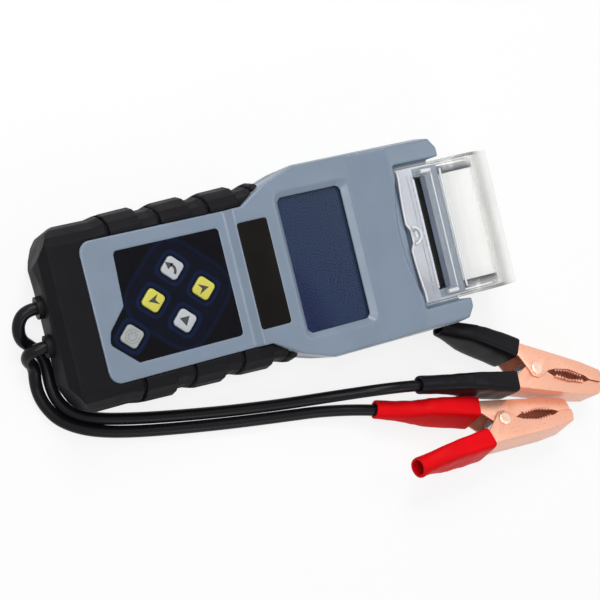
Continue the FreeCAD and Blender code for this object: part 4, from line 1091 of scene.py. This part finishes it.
@dataclass
class Clamp:
    """One spring clamp: two stamped levers, a rivet, a spring and two vinyl sleeves."""

    pole: Pole
    handle_angle: float = 11.5
    handle_offset: float = 5.0
    wall: float = 1.2
    gauge: float = 0.8

    def __post_init__(self) -> None:
        """Take the clamp's place from its pivot and its jaw tips."""
        colour = self.pole.value
        pivot = next(j for j in frame["joints"] if j["name"] == colour + "_clamp_pivot")
        tips = next(m for m in MOUNTS if m["name"] == colour + "_jaw_tips")
        self.centre = Vector(pivot["pos_m"])
        self.ahead = Vector(tips["axis"]).normalized()
        self.up = Vector(pivot["axis"]).normalized()
        if self.up.z < 0:
            self.up = -self.up
        self.side = self.up.cross(self.ahead)
        self.free_side = -1.0 if self.pole is Pole.RED else 1.0

    def at(self, u: float, v: float, w: float) -> Vector:
        """Place in the frame from places along, across and above the clamp, in millimetres."""
        return self.centre + (self.ahead * u + self.side * v + self.up * w) * MM

    def ring(self, station: Station, hand: float, skin: float, seed: float, steps: int = 44) -> Ring:
        """Soft cross-section of a sleeve.

        Args:
            station: The section.
            hand: Side of the clamp that the handle is on.
            skin: Distance inwards from the outside.
            seed: Start of the creases.
            steps: Points round it.

        Returns:
            The section's points.
        """
        lean = math.radians(self.handle_angle)
        ring = []
        for k in range(steps):
            angle = 2 * math.pi * k / steps
            c, d = math.cos(angle), math.sin(angle)
            shrink = (abs(c) ** station.power + abs(d) ** station.power) ** (-1.0 / station.power)
            crease = (0.10 * math.sin(3 * angle + seed + station.along * 0.21)
                      * math.sin(station.along * 0.33 + seed))
            deep = station.deep - skin + crease
            wide = station.wide - skin + crease
            out = station.out + c * shrink * deep
            u = -station.along * math.cos(lean) + out * math.sin(lean)
            v = self.handle_offset + station.along * math.sin(lean) + out * math.cos(lean)
            ring.append(self.at(u, hand * v, d * shrink * wide))
        return ring

    def sleeve(self, name: str, shape: Sequence[Station], hand: float, seed: float) -> Piece:
        """Vinyl sleeve with a wall, open at both ends."""
        fine: list[Station] = []
        for first, last in zip(shape, shape[1:]):
            parts = max(1, round((last.along - first.along) / 2.0))
            for i in range(parts):
                t = i / parts
                eased = t * t * (3 - 2 * t) if parts > 1 else t
                low, high = astuple(first), astuple(last)
                fine.append(Station(*(a + (b - a) * share for a, b, share in
                                      zip(low, high, (t, eased, eased, eased, eased)))))
        fine.append(shape[-1])
        outer = [self.ring(s, hand, 0.0, seed) for s in fine]
        inner = [self.ring(s, hand, self.wall, seed) for s in fine]
        rings = outer + list(reversed(inner))
        tube = loft(name, rings + [outer[0]], capped=False)
        edit(tube, lambda bm: bmesh.ops.remove_doubles(bm, verts=bm.verts, dist=0.001 * MM))
        return smooth(tube, 60.0)

    def spring(self) -> list[Piece]:
        """Coil round the rivet with a leg along each handle; the free leg moves with its lever.

        Returns:
            The coil with its fixed leg, and the free leg.
        """
        radius, pitch, turns, reach, steps, share = 5.0, 1.8, 5.5, 22.0, 120, 8
        handle_deep, sheet, gap = 4.9, 1.1, 0.3
        low = -pitch * turns / 2
        lean = math.radians(self.handle_angle)
        out = handle_deep - sheet - self.gauge - gap
        end_u = -reach * math.cos(lean) + out * math.sin(lean)
        end_v = self.handle_offset + reach * math.sin(lean) + out * math.cos(lean)
        path = [self.at(end_u, -end_v, low)]
        for i in range(steps + 1):
            turn = 2 * math.pi * turns * i / steps - math.pi / 2
            rise = low + pitch * turns * i / steps
            path.append(self.at(radius * math.cos(turn), radius * math.sin(turn), rise))
        path.append(self.at(end_u, end_v, -low))
        if self.free_side > 0:
            path.reverse()
        colour = self.pole.value
        coil = rod(colour + "_spring_wire", path[share:], self.gauge * MM, 4)
        leg = rod(colour + "_spring_leg", path[:share + 1], self.gauge * MM, 4)
        return [stand_for(coil, Finishes.WIRE, "tester", "spring_steel", colour + "_spring"),
                stand_for(leg, Finishes.WIRE, colour + "_jaw", "spring_steel")]

    def teeth(self, lever: str, hand: float, body: str) -> list[Piece]:
        """Row of teeth in the mouth of one jaw, on both of its sides.

        Args:
            lever: The lever's node.
            hand: Side of the clamp that the jaw is on.
            body: What the teeth move with.

        Returns:
            The two rows.
        """
        mouth = ((12.0, 1.8), (22.0, 3.4), (33.0, 1.8))

        def edge(u: float) -> float:
            """Height of the mouth's edge."""
            for (u0, v0), (u1, v1) in zip(mouth, mouth[1:]):
                if u <= u1:
                    return v0 + (v1 - v0) * (u - u0) / (u1 - u0)
            return mouth[-1][1]

        mesh = frame["nodes"][lever]
        plate = max((mesh.matrix_world @ v.co - self.centre).dot(self.up) for v in mesh.data.vertices) / MM
        first, last, start, pitch, count = 12.5, 32.5, 13.0, 1.9, 10
        back, root, tip, under = 0.8, 0.1, 1.15, (1.05, 0.05)
        outline = [(first, edge(first) + back)]
        for k in range(count):
            u = start + pitch * k
            middle, end = u + pitch / 2, u + pitch
            outline += [(u, edge(u) + root), (middle, edge(middle) - tip), (end, edge(end) + root)]
        outline.append((last, edge(last) + back))
        rows = []
        for name, side in (("low", -1.0), ("high", 1.0)):
            rings = [[self.at(u, hand * v, side * (plate - inset)) for u, v in outline] for inset in under]
            row = loft(f"{lever}_teeth_{name}", rings)
            rows.append(stand_for(row, Finishes.COPPER, body, "copper"))
        return rows

    def head(self) -> Piece:
        """Rivet with a domed head on each side."""
        half, sides = 10.05, 32
        dome = ((3.9, 0.0), (3.95, 0.2), (3.8, 0.62), (3.3, 0.92), (2.4, 1.0))
        profile = [(radius, -half - rise) for radius, rise in reversed(dome)]
        profile += [(2.5, -half), (2.5, half)]
        profile += [(radius, half + rise) for radius, rise in dome] + [(1.1, half + 0.86)]
        turns = [2 * math.pi * k / sides for k in range(sides)]
        rings = [[self.at(radius * math.cos(a), radius * math.sin(a), w) for a in turns]
                 for radius, w in profile]
        return smooth(loft(f"{self.pole.value}_rivet_head", rings), 45.0)

    def build(self) -> list[Piece]:
        """Build the clamp.

        Returns:
            Its pieces.
        """
        colour = self.pole.value
        vinyl = Finishes.SLEEVE_RED if self.pole is Pole.RED else Finishes.SLEEVE_BLACK
        pieces = []
        for part, body in (("free_lever", colour + "_jaw"), ("cord_lever", "tester")):
            node = f"{colour}_{part}"
            lever = bevel(copy_node(node, node + "_plate"), 0.35, 3, 35.0)
            pieces.append(stand_for(lever, Finishes.COPPER, body, "copper", node))
            pieces += self.teeth(node, -self.free_side if part == "free_lever" else self.free_side, body)
        for part, body, shape, hand in (("free_sleeve", colour + "_jaw", FREE_SHAPE, self.free_side),
                                        ("cord_sleeve", "tester", CORD_SHAPE, -self.free_side)):
            node = f"{colour}_{part}"
            sleeve = self.sleeve(node + "_vinyl", shape, hand, random.uniform(0.0, 6.0))
            pieces.append(stand_for(sleeve, vinyl, body, "sleeve_" + colour, node))
        pieces += self.spring()
        rivet = colour + "_rivet"
        body = frame["nodes"][rivet]["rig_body"]
        pieces.append(stand_for(self.head(), Finishes.RIVET, body, "rivet", rivet))
        pieces.append(frame["nodes"][colour + "_crimp"])
        return pieces


def main() -> None:
    """Build the tester in order and report each piece."""
    logging.basicConfig(level=logging.INFO, format="%(name)s %(message)s")
    random.seed(7)
    Studio().build()
    leads = {pole: Lead(pole).build() for pole in Pole}
    for shell in SHELLS:
        shell.build()
    Keypad().build()
    Display().build()
    Printer().build()
    for finish, nodes in PLAIN.items():
        for node in nodes:
            dress(frame["nodes"][node], finish)
    for pole in Pole:
        pieces = Clamp(pole).build()
    bpy.context.view_layer.update()


if __name__ == "__main__":
    main()
